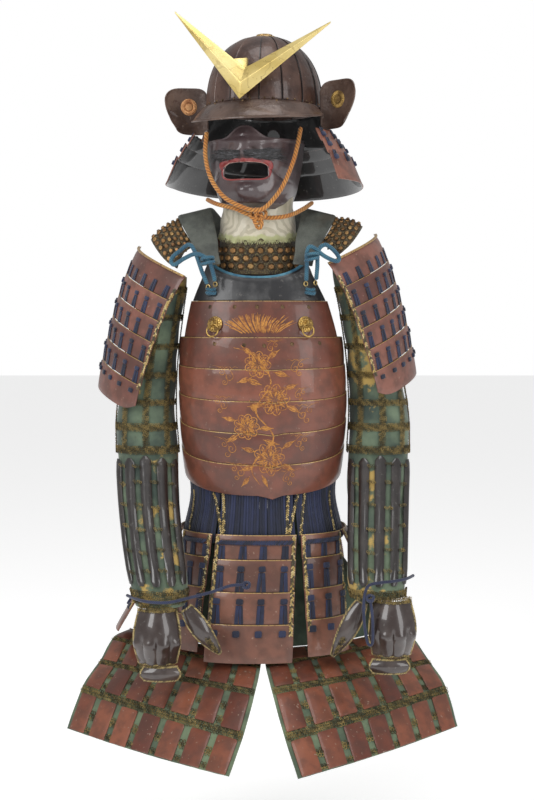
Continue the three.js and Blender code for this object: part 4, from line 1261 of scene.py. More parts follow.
sleeve_forms = {}
for side, sign in SIDES:
    form = sleeve_forms[side] = Form(sleeve_surface(side))
    front = form.wide / 2

    def crease(co, form=form, sign=sign):
        x, y = co.x / form.wide * 2 * math.pi, -co.y
        lift = 1.6 * math.sin(y / 17 + 1.2 * math.sin(x * 2 + y / 60)) * (0.4 + 0.6 * math.sin(x + 1) ** 2)
        lift += 1.1 * math.sin(3 * x + y / 31 + sign)
        ends = min(1, y / 20, (form.deep - y) / 20)
        return Vector((co.x, co.y, co.z - 1.2 + lift * max(0, ends)))

    sleeve = tube_shell("sleeve_silk_" + side, form, SLEEVE_SILK, "green_silk", 72, 120, 1.5, crease,
                        ["sleeve_" + side, "forearm_sleeve_" + side])
    flat_size(form)
    cloth_area(form)

    # mail on the upper arm: bands round it, joined by bands down it
    mail = []
    top = -112 + 13 * sign
    level = lambda z, form=form, top=top, side=side: -(top - z) / (top - CUFF[side]) * form.deep
    outside = 1 if side == "left" else -1
    for z in (-150, -205, -262, -318, -372, -420, -464):
        mail += mail_band(front - 92, level(z), front + 92, level(z - 6 * outside * 0), 14 if z < -400 else 11)
    for x in (-92, -44, 2, 46, 92):
        mail += mail_band(front + x + 8, level(-150), front + x, level(-462), 11)
    wrist = [spot for row in (-712, -720, -728) if row > CUFF[side] for spot in
             mail_band(front - 100, level(row), front + 100, level(row), 7, 7.2)]
    scatter("sleeve_mail_" + side, mail_rings(), mail, form, MAIL, "russet_iron")
    scatter("wrist_mail_" + side, mail_rings(), wrist, form, GOLD_MAIL, "russet_iron")

    # five splints, narrower at the wrist, with knots of mail between them
    form = Form(splint_surface(side))
    work, links = new_work(), []
    pitch = form.wide / 5
    for k in range(5):
        middle = (k + 0.5) * pitch
        wide, start = pitch * 0.70, (4, 0, -6, 0, 5)[k]

        def blade(co, middle=middle, wide=wide, start=start, deep=form.deep):
            share = (-start - co.y) / (deep - start - 6)
            taper = min(1, 0.35 + 3.2 * math.sqrt(max(0, share))) * (1 - 0.16 * share)
            taper *= min(1, 0.6 + 4 * math.sqrt(max(0, 1 - share)))
            x = middle + (co.x - middle) * taper
            across = 2 * (co.x - middle) / wide
            dome = 3.4 * (1 - across * across) * min(1, 0.3 + 6 * share) * min(1, 0.3 + 6 * (1 - share))
            return Vector((x, co.y, co.z + dome))

        plate(work, middle - wide / 2, -start, wide, form.deep - start - 6, 1.4, 8, 26, blade, base=-2.6)
        if k < 4:
            for share in (0.06, 0.2, 0.38, 0.55, 0.72, 0.87):
                y = -form.deep * share - 4 * math.sin(k * 2 + share * 9)
                links += mail_band((k + 1) * pitch - 7, y, (k + 1) * pitch + 7, y, 7, 6)
    soften(work, 0.5, 60)
    bent("splints_" + side, work, form, SPLINT_LACQUER, "mask_lacquer", replaces=["forearm_splints_" + side])
    scatter("splint_links_" + side, mail_rings(), links, form, MAIL, "russet_iron")

# ---- Hand plates ---------------------------------------------------------------------------------
# Three lacquered iron plates hang from each cuff: the back of the hand with its raised knuckles, the
# finger ends below it and the thumb beside it. Cream cord binds their edges.

HANDS = {
    "right": ((-194, -244, -742), (-188, -249, -846), (-141, -236, -741), (-80, -230, -826)),
    "left": ((238, -244, -726), (233, -249, -832), (183, -236, -730), (130, -230, -830)),
}


def domed_surface(spot, wide, high, dome, curl):
    x, y, z = spot

    def surface(u, v):
        w = wide * mix(0.8, 1, np.sin(np.pi * np.clip(v, 0.05, 0.95)))
        rise = dome * np.sin(np.pi * mix(0.12, 0.88, v)) - 4 * curl * (u - 0.5) ** 2 * dome
        return points(x + w * (u - 0.5), y - rise, z - high * v)

    return surface


def thumb_surface(start, end):
    a, b = np.array(start, float), np.array(end, float)
    along = (b - a) / np.linalg.norm(b - a)
    across = np.cross((0, -1, 0), along)
    across /= np.linalg.norm(across)

    def surface(u, v):
        w = 36 * np.sin(np.pi * np.clip(mix(0.14, 0.94, v), 0.01, 0.99)) ** 0.7 * mix(1.1, 0.75, v)
        u, v, w = (np.asarray(t)[..., None] for t in (u, v, w))
        spot = a + (b - a) * v + across * w * (u - 0.5)
        spot[..., 1:2] += -12 * np.sin(np.pi * v) + 30 * (u - 0.5) ** 2
        return spot

    return surface


HAND_LACQUER = black_lacquer("hand_lacquer", (0.030, 0.017, 0.014), (0.10, 0.075, 0.065))
HAND_LACQUER.node_tree.nodes["Principled BSDF"].inputs["Coat Weight"].default_value = 0.9


def edge_cord(form, inset=0.0, pitch=3.0, width=2.6):
    """Spots of a bound edge all round a form."""
    corners = [(inset, -inset), (form.wide - inset, -inset), (form.wide - inset, inset - form.deep),
               (inset, inset - form.deep), (inset, -inset)]
    spots = []
    for (x0, y0), (x1, y1) in zip(corners, corners[1:]):
        count = max(2, int(math.hypot(x1 - x0, y1 - y0) / pitch))
        turn = math.degrees(math.atan2(y1 - y0, x1 - x0))
        for k in range(count):
            share = (k + 0.5) / count
            spots.append((mix(x0, x1, share), mix(y0, y1, share), turn + 28, pitch * 1.7, width, width, -1.6))
    return spots


def edge_silk(name):
    paint = Paint(name, roughness=0.75, sheen=0.2)
    own, _ = paint.uv("Piece")
    colour = paint.ramp(own, (0.0, (0.46, 0.36, 0.15)), (0.6, (0.30, 0.22, 0.08)), (0.85, (0.12, 0.09, 0.04)))
    paint.set(Base_Color=colour, Normal=paint.bump(paint.noise(500.0, 2.0), 0.2))
    return paint.material


EDGE_SILK = edge_silk("cream_edge_cord")


def knuckled(form, amount, rows=4):
    """Raised knuckles over the lower half of the back of the hand."""

    def shape(co):
        x, y = co.x / form.wide, -co.y / form.deep
        ridge = abs(math.sin(math.pi * (rows * (x * 0.88 + 0.06)))) ** 0.7
        lower = 1 / (1 + math.exp(-(y - 0.52) * 26))
        knuckle = math.exp(-((y - 0.60) / 0.09) ** 2) * 1.4
        step = 1.5 / (1 + math.exp(-(y - 0.50) * 40))
        rim = -1.8 * (max(0, 1 - min(x, 1 - x) / 0.07)) ** 2
        return Vector((co.x, co.y, co.z + amount * (ridge * (lower + knuckle) * 0.8) - step + rim))

    return shape


for side, sign in SIDES:
    palm, fingers, thumb_start, thumb_end = HANDS[side]
    for name, form, across, down, shape in (
        ("hand_back_", Form(domed_surface(palm, 86, 100, 26, 0.9)), 64, 48, True),
        ("finger_ends_", Form(domed_surface(fingers, 74, 26, 9, 1)), 24, 12, False),
        ("thumb_guard_", Form(thumb_surface(thumb_start, thumb_end)), 18, 30, False),
    ):
        work = new_work()
        relief = knuckled(form, 3.6) if shape else None
        plate(work, 0, 0, form.wide, form.deep, 1.6, across, down, relief, base=-1.6)
        soften(work, 0.5, 60)
        node = {"hand_back_": "hand_plate_", "finger_ends_": "finger_plate_", "thumb_guard_": "thumb_plate_"}[name]
        bent(name + side, work, form, HAND_LACQUER, "mask_lacquer", replaces=[node + side])
        scatter(name + "edge_" + side, strand(1), edge_cord(form), form, EDGE_SILK, "brocade")
        if name == "thumb_guard_":
            mail = mail_band(form.wide / 2, -form.deep * 0.62, form.wide / 2, -form.deep * 0.95, 10, 6)
            scatter("thumb_mail_" + side, mail_rings(), mail, form, GOLD_MAIL, "russet_iron")
        if name == "hand_back_":
            mail = mail_band(4, 3, form.wide - 4, 3, 8, 6.4) + mail_band(8, -form.deep - 3, form.wide - 8, -form.deep - 3, 7, 6)
            scatter("hand_mail_" + side, mail_rings(), mail, form, GOLD_MAIL, "russet_iron")

# ---- Shoulder guards -----------------------------------------------------------------------------
# Six laced lames each, bowed round the arm, hang from the shoulder straps. The top one is plain, with a
# rolled red rim, and a braid binds the edges.

GUARD_LAMES = 6
GUARD_CORNERS = ((241, 120, -46), (136, -84, -114), (241, -78, -380), (326, 130, -325))


def guard_surface(sign):
    tb, tf, hf, hb = (np.array((NECK_SHIFT + sign * x, y, z + sign * SHOULDER_DROP), float) for x, y, z in GUARD_CORNERS)
    out = np.cross(tf - tb, hf + hb - tf - tb) * sign
    out /= np.linalg.norm(out)

    def surface(u, v):
        u = 1 - u if sign > 0 else u
        bow = 36 * 4 * u * (1 - u) + 13 * np.sin(np.pi * np.clip(v, 0, 1) ** 0.7)
        u, v, bow = (np.asarray(t)[..., None] for t in (u, v, bow))
        top, low = tb + (tf - tb) * u, hb + (hf - hb) * u
        return top + (low - top) * v + out * bow

    return surface


GUARD_CUTS = (0, 0.19, 0.345, 0.495, 0.645, 0.80, 1)
GUARD_LACQUER = lacquer("shoulder_lacquer", (0.125, 0.045, 0.034), (0.26, 0.105, 0.075), gilt_edge=1.0, wear=0.9)
for side, sign in SIDES:
    form = Form(guard_surface(sign))
    corner = lambda share: 1 - 0.30 * abs(2 * share - 1) ** 7
    cut_lames("shoulder_lames_" + side, form, GUARD_CUTS, 2.5, GUARD_LACQUER, "russet_lacquer",
              ["shoulder_guard_" + side], 28, corner)
    lift = cut_lift(form, GUARD_CUTS, 2.5)
    columns = np.linspace(0.075, 0.925, 7)
    knots, strands_at = lacing(form, GUARD_CUTS, columns, knot=(9.5, 7.5), strands=4.3, first=0.55)
    scatter("shoulder_knots_" + side, knot_head(), knots, form, NAVY_SILK, "navy_silk", lift)
    scatter("shoulder_strands_" + side, strand(3), strands_at, form, NAVY_SILK, "navy_silk", lift)
    braids = []
    for x in (3.5, form.wide - 3.5):
        braids += braid_run((x, -30), (x, -form.deep * 0.84), 6.4)
    scatter("shoulder_braids_" + side, strand(1), braids, form, BRAID_SILK, "brocade", lift)
    rim = [(x, -1.5, 0, 6.4, 4.6, 4.6, -1.5) for x in np.arange(3, form.wide - 1, 6)]
    scatter("shoulder_rim_" + side, strand(1, 10), rim, form, RED_LACQUER, "russet_lacquer", lift)

# ---- Shoulder straps -----------------------------------------------------------------------------
# Padded straps of grey smoked leather come over the shoulders from the back board. Their rounded front
# ends hang over the breast board, where the blue cords tie them down.

STRAP_THICK = 3
strap_rows = read_rows([
    # v, x, y, z, width, tilt
    (0, 84, 104, -70, 58, 0),
    (0.2, 98, 76, -20, 62, 6),
    (0.4, 116, 34, 2, 66, 8),
    (0.55, 124, -6, 4, 66, 8),
    (0.72, 114, -46, -22, 58, 8),
    (0.87, 98, -78, -64, 46, 5),
    (1, 88, -98, -104, 26, 2),
])


def strap_surface(sign):
    def surface(u, v):
        u = u if sign > 0 else 1 - u
        x, y, z, wide, tilt = strap_rows(v)
        return points(NECK_SHIFT + sign * (x + np.maximum(wide, 38) * (u - 0.5)), y, z - tilt * (u - 0.5) * 2)

    return surface


def smoked_leather(name, dark=(0.045, 0.050, 0.044), light=(0.125, 0.135, 0.115)):
    paint = Paint(name, roughness=0.62)
    fade = paint.noise(24.0, 6.0, roughness=0.6).band(0.32, 0.68)
    crackle = paint.cells(420.0, feature="DISTANCE_TO_EDGE").band(0.12, 0.0)
    stain = paint.noise(11.0, 3.0).band(0.55, 0.7)
    colour = paint.blend(fade, dark, light)
    colour = paint.blend(stain * 0.5, colour, (0.10, 0.075, 0.05))
    paint.set(Base_Color=paint.blend(crackle * 0.45, colour, (0.02, 0.02, 0.018)), Roughness=0.5 + fade * 0.2)
    paint.set(Normal=paint.bump(paint.noise(300.0, 4.0) - crackle * 0.5, 0.35))
    return paint.material


GREY_LEATHER = smoked_leather("grey_smoked_leather")
for side, sign in SIDES:
    form = Form(strap_surface(sign))

    def wrinkle(co, form=form):
        share = -co.y / form.deep
        fold = 0.7 * math.sin(co.y / 3.7 + 1.1 * math.sin(co.x / 9)) * max(0, share - 0.62) * 2
        edge = min(co.x, form.wide - co.x)
        return Vector((co.x, co.y, co.z + fold - 1.4 * math.exp(-edge / 2.5) + 0.5 * math.exp(-((edge - 6) / 1.2) ** 2)))

    work = new_work()
    plate(work, 0, 0, form.wide, form.deep, STRAP_THICK, 30, 90, wrinkle, base=-STRAP_THICK, corner=13)
    soften(work, 0.8, 60)
    bent("strap_leather_" + side, work, form, GREY_LEATHER, "grey_leather", replaces=["shoulder_strap_" + side])

# ---- Shoulder wings and throat guard -------------------------------------------------------------
# Small hexagon plates are quilted into dark cloth, each held by a gilt flower-headed stud. They make the
# wings outside the straps and the collar that lies on the breast.


def wing_surface(sign):
    def surface(u, v):
        w = (1 - 2 * u) * 0.97 * sign
        reach = 50 * np.sqrt(np.clip(1 - w * w, 0, None)) + 8
        return points(NECK_SHIFT + sign * (152 + reach * v - 10 * w * w - 24 * np.clip(w, 0, 1) ** 3 * (1 - v)), -2 - 62 * w,
                      -12 - 58 * w * w - 26 * v * v + sign * SHOULDER_DROP * v)

    return surface


def throat_point(angle, z, grow=0.0):
    open_share = np.clip((10 - z) / 130, 0, 1)
    turn = np.radians(angle)
    return points(-10 + (mix(66, 84, open_share) + grow) * squarer(np.sin(turn)),
                  2 - (mix(66, 76, open_share) + grow) * squarer(np.cos(turn)), z)


def collar_surface(u, v):
    angle = mix(-105, 105, u)
    return throat_point(angle, mix(-20, -122 + 16 * (angle / 100) ** 2, v))


def hexagon_plate():
    work = new_work()
    made = bmesh.ops.create_cone(work, cap_ends=True, segments=6, radius1=0.5, radius2=0.42, depth=0.3,
                                 matrix=Matrix.Translation((0, 0, 0.15)))
    top = [f for f in work.faces if f.normal.z > 0.9]
    bmesh.ops.inset_individual(work, faces=top, thickness=0.12, depth=0.22)
    return work


def flower_stud():
    """A stud head of six petals round a boss, one millimetre across and one high."""
    work = new_work()
    made = bmesh.ops.create_cone(work, cap_ends=True, segments=24, radius1=0.5, radius2=0.44, depth=0.3,
                                 matrix=Matrix.Translation((0, 0, 0.15)))
    for vert in made["verts"]:
        vert.co.xy *= 1 - 0.16 * (1 - math.cos(6 * math.atan2(vert.co.y, vert.co.x))) / 2
    top = [f for f in work.faces if f.normal.z > 0.9]
    bmesh.ops.inset_individual(work, faces=top, thickness=0.14, depth=0.18)
    bmesh.ops.inset_individual(work, faces=top, thickness=0.06, depth=-0.10)
    bmesh.ops.inset_individual(work, faces=top, thickness=0.05, depth=0.24)
    bmesh.ops.inset_individual(work, faces=top, thickness=0.09, depth=0.14)
    return work


def quilted_cloth(name):
    paint = Paint(name, roughness=0.85, sheen=0.2)
    thread = paint.noise(380.0, 5.0).band(0.5, 0.62)
    patch = paint.noise(30.0, 4.0).band(0.4, 0.7)
    colour = paint.blend(patch, (0.030, 0.022, 0.014), (0.075, 0.05, 0.026))
    paint.set(Base_Color=paint.blend(thread * 0.8, colour, (0.17, 0.14, 0.055)))
    paint.set(Normal=paint.bump(paint.noise(420.0, 5.0), 1.2))
    return paint.material


def stud_gilt(name):
    """Each stud has its own share of wear, from bright gilt to bare copper."""
    paint = Paint(name, roughness=0.38, metallic=0.8)
    own, other = paint.uv("Piece")
    worn = own * 0.65 + paint.noise(140.0, 4.0) * 0.35
    colour = paint.ramp(worn, (0.0, (0.60, 0.40, 0.17)), (0.45, (0.38, 0.21, 0.085)), (0.85, (0.13, 0.065, 0.03)))
    paint.set(Base_Color=colour, Roughness=0.3 + other * 0.25)
    return paint.material


QUILT, FLOWER_GILT = quilted_cloth("quilted_dark_cloth"), stud_gilt("flower_stud_gilt")
PLATE_PAD = aged_gilt("hexagon_plate_lacquer", (0.10, 0.066, 0.034), (0.03, 0.02, 0.012), 0.5)


def sewn_plates(name, form, replaces, pitch, row, stud, high, inset=9.0, keep=None):
    """The quilted ground, with hexagon plates in even rows and a stud on each."""
    work = new_work()

    def quilt(co):
        hill = 1.3 * abs(math.cos(math.pi * co.x / pitch) * math.cos(math.pi * co.y / (2 * row)))
        return Vector((co.x, co.y, co.z + (hill if co.z > -1 else 0)))

    plate(work, 0, 0, form.wide, form.deep, 3, max(24, int(form.wide / 4)), max(8, int(form.deep / 4)), quilt, base=-3)
    soften(work, 0.7, 70)
    bent(name + "_cloth", work, form, QUILT, "sewn_plates", replaces=replaces)
    spots = []
    for k in range(int((form.deep - inset) / row) + 1):
        y = -inset - k * row
        for x in np.arange(inset + (pitch / 2 if k % 2 else 0), form.wide - inset + 1, pitch):
            if y > -form.deep + inset * 0.6 and (keep is None or keep(x / form.wide, -y / form.deep)):
                spots.append((x + steady.uniform(-0.8, 0.8), y + steady.uniform(-0.8, 0.8), steady.uniform(-8, 8)))
    hexes = [(x, y, 30 + t, pitch * 0.97, pitch * 0.97, 5.5, -0.5) for x, y, t in spots]
    heads = [(x, y, t * 4, stud, stud, high, 1.9) for x, y, t in spots]
    scatter(name + "_plates", hexagon_plate(), hexes, form, PLATE_PAD, "sewn_plates")
    scatter(name + "_studs", flower_stud(), heads, form, FLOWER_GILT, "sewn_plates")


for side, sign in SIDES:
    form = Form(wing_surface(sign))
    sewn_plates("wing_" + side, form, ["shoulder_wing_" + side], 14.5, 11.5, 8.2, 4.2, 6.0)
collar_form = Form(collar_surface)
sewn_plates("collar", collar_form, ["throat_guard"], 18.5, 15.5, 11.5, 5.4, 10.0,
            keep=lambda across, down: down > 0.44)

# ---- Throat cover --------------------------------------------------------------------------------
# A worn strip of silver-cream brocade is wrapped round the neck under the mask. Its lower edge is
# torn, and a frayed yellow-green lining shows there.


def cover_surface(u, v):
    angle = mix(-112, 112, u)
    side = (np.abs(angle) / 112) ** 2
    return throat_point(angle, mix(20 + 26 * side * np.where(angle > 0, 1, 0.1), -58 + 24 * side, v), 2.8)


def cream_brocade(name):
    paint = Paint(name, roughness=0.42, sheen=0.3)
    across, down = paint.uv()
    vine = paint.node("ShaderNodeTexWave", {"wave_type": "RINGS"},
                      {"Vector": paint.place(), "Scale": 26.0, "Distortion": 9.0, "Detail": 3.0}, "Fac")
    cream = paint.blend(vine.band(0.55, 0.7), (0.60, 0.55, 0.43), (0.46, 0.42, 0.31))
    soil = paint.noise(26.0, 5.0).band(0.5, 0.75)
    cream = paint.blend(soil * 0.6, cream, (0.30, 0.26, 0.16))
    torn = (down + paint.noise(60.0, 4.0) * 14.0).band(72.0, 78.0)
    paint.set(Base_Color=paint.blend(torn, cream, (0.42, 0.43, 0.22)), Roughness=0.35 + torn * 0.4)
    paint.set(Normal=paint.bump(vine + paint.noise(300.0, 3.0) * 0.6, 0.3))
    return paint.material


cover_form = Form(cover_surface)


def cover_folds(co):
    x, y = co.x, -co.y
    fold = 1.1 * math.sin(x / 17 + y / 9 + 1.5 * math.sin(x / 41)) + 0.7 * math.sin(x / 7.3 - y / 15)
    hem = max(0, y / cover_form.deep - 0.6) * 2.5
    ragged = hem * (2.2 * math.sin(x / 5.1) + 1.6 * math.sin(x / 2.3 + 1) + 2.4 * math.sin(x / 13.7))
    return Vector((x, co.y - ragged, co.z + 0.8 + fold * 0.8 + hem * 0.9 * math.sin(x / 3.1)))


cover = cloth_shell("neck_brocade", cover_form, cream_brocade("cream_brocade"), "brocade", 150, 22, 1.2, cover_folds,
                    replaces=["throat_cover"])
flat_size(cover_form)
cloth_area(cover_form)
fray = [(x, -cover_form.deep + steady.uniform(-3.5, 1.5), steady.uniform(60, 120), steady.uniform(4, 9), 0.8, 0.8, 1.0)
        for x in np.arange(6, cover_form.wide - 6, 1.3)]


def plain_thread(name, *stops):
    paint = Paint(name, roughness=0.8, sheen=0.2)
    own, _ = paint.uv("Piece")
    paint.set(Base_Color=paint.ramp(own, *stops), Normal=paint.bump(paint.noise(700.0, 2.0), 0.15))
    return paint.material


FRAY = plain_thread("frayed_silk", (0.0, (0.45, 0.46, 0.24)), (0.5, (0.33, 0.34, 0.15)), (0.9, (0.55, 0.5, 0.33)))
fringe = scatter("neck_fray", strand(1, 4), fray, cover_form, FRAY, "brocade")

# ---- Cords ---------------------------------------------------------------------------------------
# Round silk cords, laid up of plies: blue ones tie the shoulder guards to the breast board, orange ones
# hold the helmet and the mask under the chin, and a navy one closes each cuff.


def smooth_line(route, step=3.0):
    at = read_rows([(i, *spot) for i, spot in enumerate(route)])
    fine = np.stack(at(np.linspace(0, len(route) - 1, 80 * len(route))), axis=1)
    run = np.append(0, np.cumsum(np.linalg.norm(np.diff(fine, axis=0), axis=1)))
    even = np.linspace(0, run[-1], max(4, int(run[-1] / step)))
    return np.stack([np.interp(even, run, fine[:, i]) for i in range(3)], axis=1), run[-1]


def rope(name, route, radius, finish, slot, plies=3, twist=22.0, depth=0.16, replaces=()):
    """A tube along a smooth line through its route, with one lobe in its section for each ply."""
    line, long = smooth_line(route)
    heading = np.gradient(line, axis=0)
    heading /= np.linalg.norm(heading, axis=1)[:, None]
    side = np.empty_like(line)
    side[0] = np.cross(heading[0], (0.3, 0.2, 0.9))
    for i in range(len(line)):
        last = side[max(0, i - 1)]
        side[i] = last - heading[i] * (last @ heading[i])
        side[i] /= np.linalg.norm(side[i])
    other = np.cross(heading, side)
    work = new_work()
    count, sides = int(long / (radius * 0.42)), 16
    place = Matrix.Translation((long / 2, -0.5, 0)) @ Matrix.Diagonal((long, 1, 1, 1))
    bmesh.ops.create_grid(work, x_segments=count, y_segments=sides, size=0.5, matrix=place)
    mark(work, work.faces, 0, 0)
    flat = np.array([vert.co[:] for vert in work.verts])
    share = flat[:, 0] / long * (len(line) - 1)
    spot, a, b = (np.stack([np.interp(share, np.arange(len(line)), part[:, i]) for i in range(3)], axis=1)
                  for part in (line, side, other))
    turn = 2 * np.pi * flat[:, 1]
    lobes = 1 - depth * (0.5 - 0.5 * np.cos(plies * (turn + 2 * np.pi * flat[:, 0] / twist)))
    end = np.clip(np.minimum(flat[:, 0], long - flat[:, 0]) / radius, 0, 1)
    reach = (radius * lobes * np.sqrt(1 - (1 - end) ** 2))[:, None]
    spot = spot + reach * (a * np.cos(turn)[:, None] + b * np.sin(turn)[:, None])
    for vert, co in zip(work.verts, spot * MM):
        vert.co = co
    bmesh.ops.remove_doubles(work, verts=work.verts, dist=1e-6)
    piece = bent(name, work, None, finish, slot, replaces=replaces, smooth=80)
    return piece, line, long


def cord_silk(name, dark, light, worn, plies=3, twist=22.0):
    """Painted shade darkens the grooves between the plies, with fine fibres along each."""
    paint = Paint(name, roughness=0.7, sheen=0.3)
    along, share = paint.uv()
    groove = ((share - along / twist) * (2 * math.pi * plies)).math("COSINE") * 0.5 + 0.5
    fibre = paint.noise(650.0, 3.0)
    fade = paint.noise(34.0, 4.0).band(0.35, 0.7)
    colour = paint.blend(fade, light, worn)
    # painted shade: the grooves between the plies are darkened towards the first colour, and the fine fibres darken it
    # a little more
    colour = paint.blend((1 - groove) * 0.75 + fibre * 0.2, colour, dark)
    paint.set(Base_Color=colour, Normal=paint.bump(groove * 0.4 + fibre * 0.5, 0.4))
    return paint.material


# the first colour of each cord is painted shade for the grooves between its plies
BLUE_CORD = cord_silk("blue_cord_silk", (0.008, 0.035, 0.065), (0.02, 0.115, 0.19), (0.055, 0.21, 0.29), 4, 16.0)
TIES = {
    "right": [(-106, -106, -142), (-116, -108, -118), (-128, -104, -84), (-140, -98, -66), (-158, -88, -76),
              (-176, -84, -92), (-171, -88, -104), (-150, -98, -92), (-126, -109, -84), (-104, -110, -96),
              (-94, -107, -124), (-92, -106, -137)],
    "left": [(102, -103, -134), (104, -107, -110), (106, -104, -78), (120, -96, -66), (138, -88, -78),
             (147, -86, -92), (140, -92, -97), (118, -102, -88), (92, -110, -70), (84, -109, -82),
             (84, -107, -108), (83, -104, -136)],
}


def breast_spot(x, z, out):
    """The place on the breast at x and z, and the turn that faces out of it."""
    shift, half, front, _ = trunk(np.array(float(z)))
    sine = (x - shift) / half
    turn = math.asin(math.copysign(abs(sine) ** (1 / 0.87), sine))
    y = -(front + out) * float(squarer(math.cos(turn)))
    return Matrix.Scale(MM, 4) @ Matrix.Translation((x, y, z)) @ Matrix.Rotation(turn * 0.9, 4, "Z")


BRASS = aged_gilt("eyelet_brass", (0.62, 0.47, 0.21), (0.28, 0.19, 0.08))
for side, sign in SIDES:
    route = TIES[side]
    tie, line, long = rope("shoulder_tie_" + side, route, 4.3, BLUE_CORD, "blue_silk", 4, 16.0, 0.12,
                           ["shoulder_cord_" + side])
    extras = []
    work = new_work()
    for x, _, z in (route[0], route[-1]):
        ring = new_work()
        hoop(ring, 4.2, 1.3, None, 20, 8)
        bmesh.ops.transform(ring, matrix=breast_spot(x, z - 4, 1.5), verts=ring.verts)
        spare = bpy.data.meshes.new("spare")
        ring.to_mesh(spare)
        ring.free()
        work.from_mesh(spare)
    extras.append(bent("tie_eyelets_" + side, work, None, BRASS, "gilt"))
    # a toggle of two thick turns of the cord, below the eyelets
    middle = (route[0][0] + route[-1][0]) / 2
    turns = []
    for k, (high, wide) in enumerate(((-151, 8.5), (-158, 9.5))):
        shift, half, front, _ = trunk(np.array(float(high)))
        y = float(breast_spot(middle, high, 4).translation.y / MM)
        loop = [(middle + wide * math.cos(t), y - 3.2 * math.sin(t) + 0.2, high + 1.2 * math.cos(2 * t + k))
                for t in np.linspace(0.2, 2 * math.pi + 0.2, 14)]
        turns.append(rope(f"tie_toggle_{k}_{side}", loop, 3.6, BLUE_CORD, "blue_silk", 4, 16.0, 0.12)[0])
    # two wraps of the cord round the legs of the tie, where it comes out of the strap
    x, y, z = route[1][0] * 0.5 + route[-2][0] * 0.5, -110, route[1][2] * 0.5 + route[2][2] * 0.5
    for k in range(2):
        wrap = [(x + 13 * math.cos(t) * (1 - 0.1 * k), y + 6.5 * math.sin(t), z + 8 * k + 3 * math.cos(t + k))
                for t in np.linspace(0, 2 * math.pi, 14)]
        turns.append(rope(f"tie_wrap_{k}_{side}", wrap, 3.0, BLUE_CORD, "blue_silk", 4, 16.0, 0.12)[0])
    tuple(line[0] * MM)
    long * MM
    [tuple(spot * MM) for spot in line]
    extras + turns

# the first colour is painted shade for the grooves between the plies
NAVY_CORD = cord_silk("navy_cord_silk", (0.004, 0.006, 0.02), (0.012, 0.018, 0.065), (0.03, 0.045, 0.12), 4, 14.0)
WRISTS = {
    "right": [(-255, -190, -725), (-216, -256, -722), (-173, -262, -723), (-134, -235, -720), (-93, -225, -711),
              (-58, -222, -700), (-30, -222, -699)],
    "left": [(283, -186, -688), (265, -224, -687), (240, -242, -688), (215, -246, -690), (192, -248, -697),
             (184, -262, -726), (186, -264, -767), (192, -264, -798), (200, -264, -796),
             (200, -264, -754), (196, -258, -716)],
}
for side, route in WRISTS.items():
    cuff, line, long = rope("cuff_cord_" + side, route, 3, NAVY_CORD, "navy_silk", 4, 14.0, 0.12, ["wrist_cord_" + side])
    x, y, z = route[-1]
    for k in range(2):
        loop = [(x + 6.0 * math.cos(t + k), y - 1 + 4.5 * math.sin(t), z + 5.0 * math.sin(t + 1.6 * k))
                for t in np.linspace(0, 2 * math.pi, 14)]
        rope(f"cuff_knot_{k}_{side}", loop, 2.8, NAVY_CORD, "navy_silk", 4, 14.0, 0.12)[0]
    tuple(line[0] * MM)
    long * MM
    [tuple(spot * MM) for spot in line]

# the first colour is painted shade for the grooves between the plies
ORANGE_CORD = cord_silk("orange_cord_silk", (0.16, 0.045, 0.006), (0.58, 0.21, 0.028), (0.70, 0.33, 0.07), 3, 20.0)
CHIN = [(-108, -72, 152), (-110, -84, 105), (-99, -98, 60), (-73, -112, 23), (-34, -118, 2), (-10, -119, -2),
        (9, -116, 7), (36, -108, 41), (57, -98, 89), (67, -90, 127), (73, -78, 160)]
NECK = [(-110, -20, 27), (-89, -66, 14), (-53, -92, 3), (-26, -101, -9), (9, -100, -15), (48, -84, -10),
        (78, -48, 6), (98, -10, 22)]
chin, line, long = rope("chin_cord_laid", CHIN, 4.6, ORANGE_CORD, "orange_cord", 3, 20.0, 0.2, ["chin_cord"])
tuple(line[0] * MM)
long * MM
[tuple(spot * MM) for spot in line]
neck, line, long = rope("neck_cord_laid", NECK, 4.6, ORANGE_CORD, "orange_cord", 3, 20.0, 0.2, ["neck_cord"])
KNOT_AT = (-9, -111, -14)
for k, (wide, high, lean, dx, dz) in enumerate(((11, 9, 0.3, -4, 5), (9, 11, -0.9, 5, 4), (10, 7, 1.2, 0, -4),
                                               (6.5, 14, 0.1, 1, -8))):
    loop = []
    for t in np.linspace(0, 2 * math.pi, 16):
        x, z = wide * math.cos(t), high * math.sin(t)
        loop.append((KNOT_AT[0] + dx + x * math.cos(lean) - z * math.sin(lean), KNOT_AT[1] - 3.5 * math.sin(2 * t + k),
                     KNOT_AT[2] + dz + x * math.sin(lean) + z * math.cos(lean)))
    rope(f"neck_knot_{k}", loop, 3.6, ORANGE_CORD, "orange_cord", 3, 20.0, 0.2)[0]
tuple(line[0] * MM)
long * MM
[tuple(spot * MM) for spot in line]

# ---- Mask ----------------------------------------------------------------------------------------
# A half mask of russet iron covers the cheeks, nose and chin. Its mouth is open between red lacquered
# lips, and a moustache of dark hair is set under the nose.

MASK_SHIFT, MASK_YAW = -12, -12
MOUTH_LEVEL, MOUTH_HALF, MOUTH_RISE = 74, 44, 16
mask_rows = read_rows([
    # z, half width, depth, nose, cheek
    (6, 54, 84, 0, 0),
    (16, 63, 102, 4, 0),
    (34, 71, 106, 9, 0),
    (54, 77, 104, 7, 2),
    (74, 81, 104, 5, 5),
    (92, 84, 106, 9, 7),
    (106, 86, 107, 24, 8),
    (122, 88, 105, 26, 8),
    (140, 88, 102, 17, 3),
    (160, 88, 98, 9, 0),
])


def in_place(local, yaw, shift):
    """Turns points about +Z and moves them to their place."""
    a = math.radians(yaw)
    x, y, z = local[..., 0], local[..., 1], local[..., 2]
    return points(shift[0] + x * math.cos(a) - y * math.sin(a), shift[1] + x * math.sin(a) + y * math.cos(a), shift[2] + z)


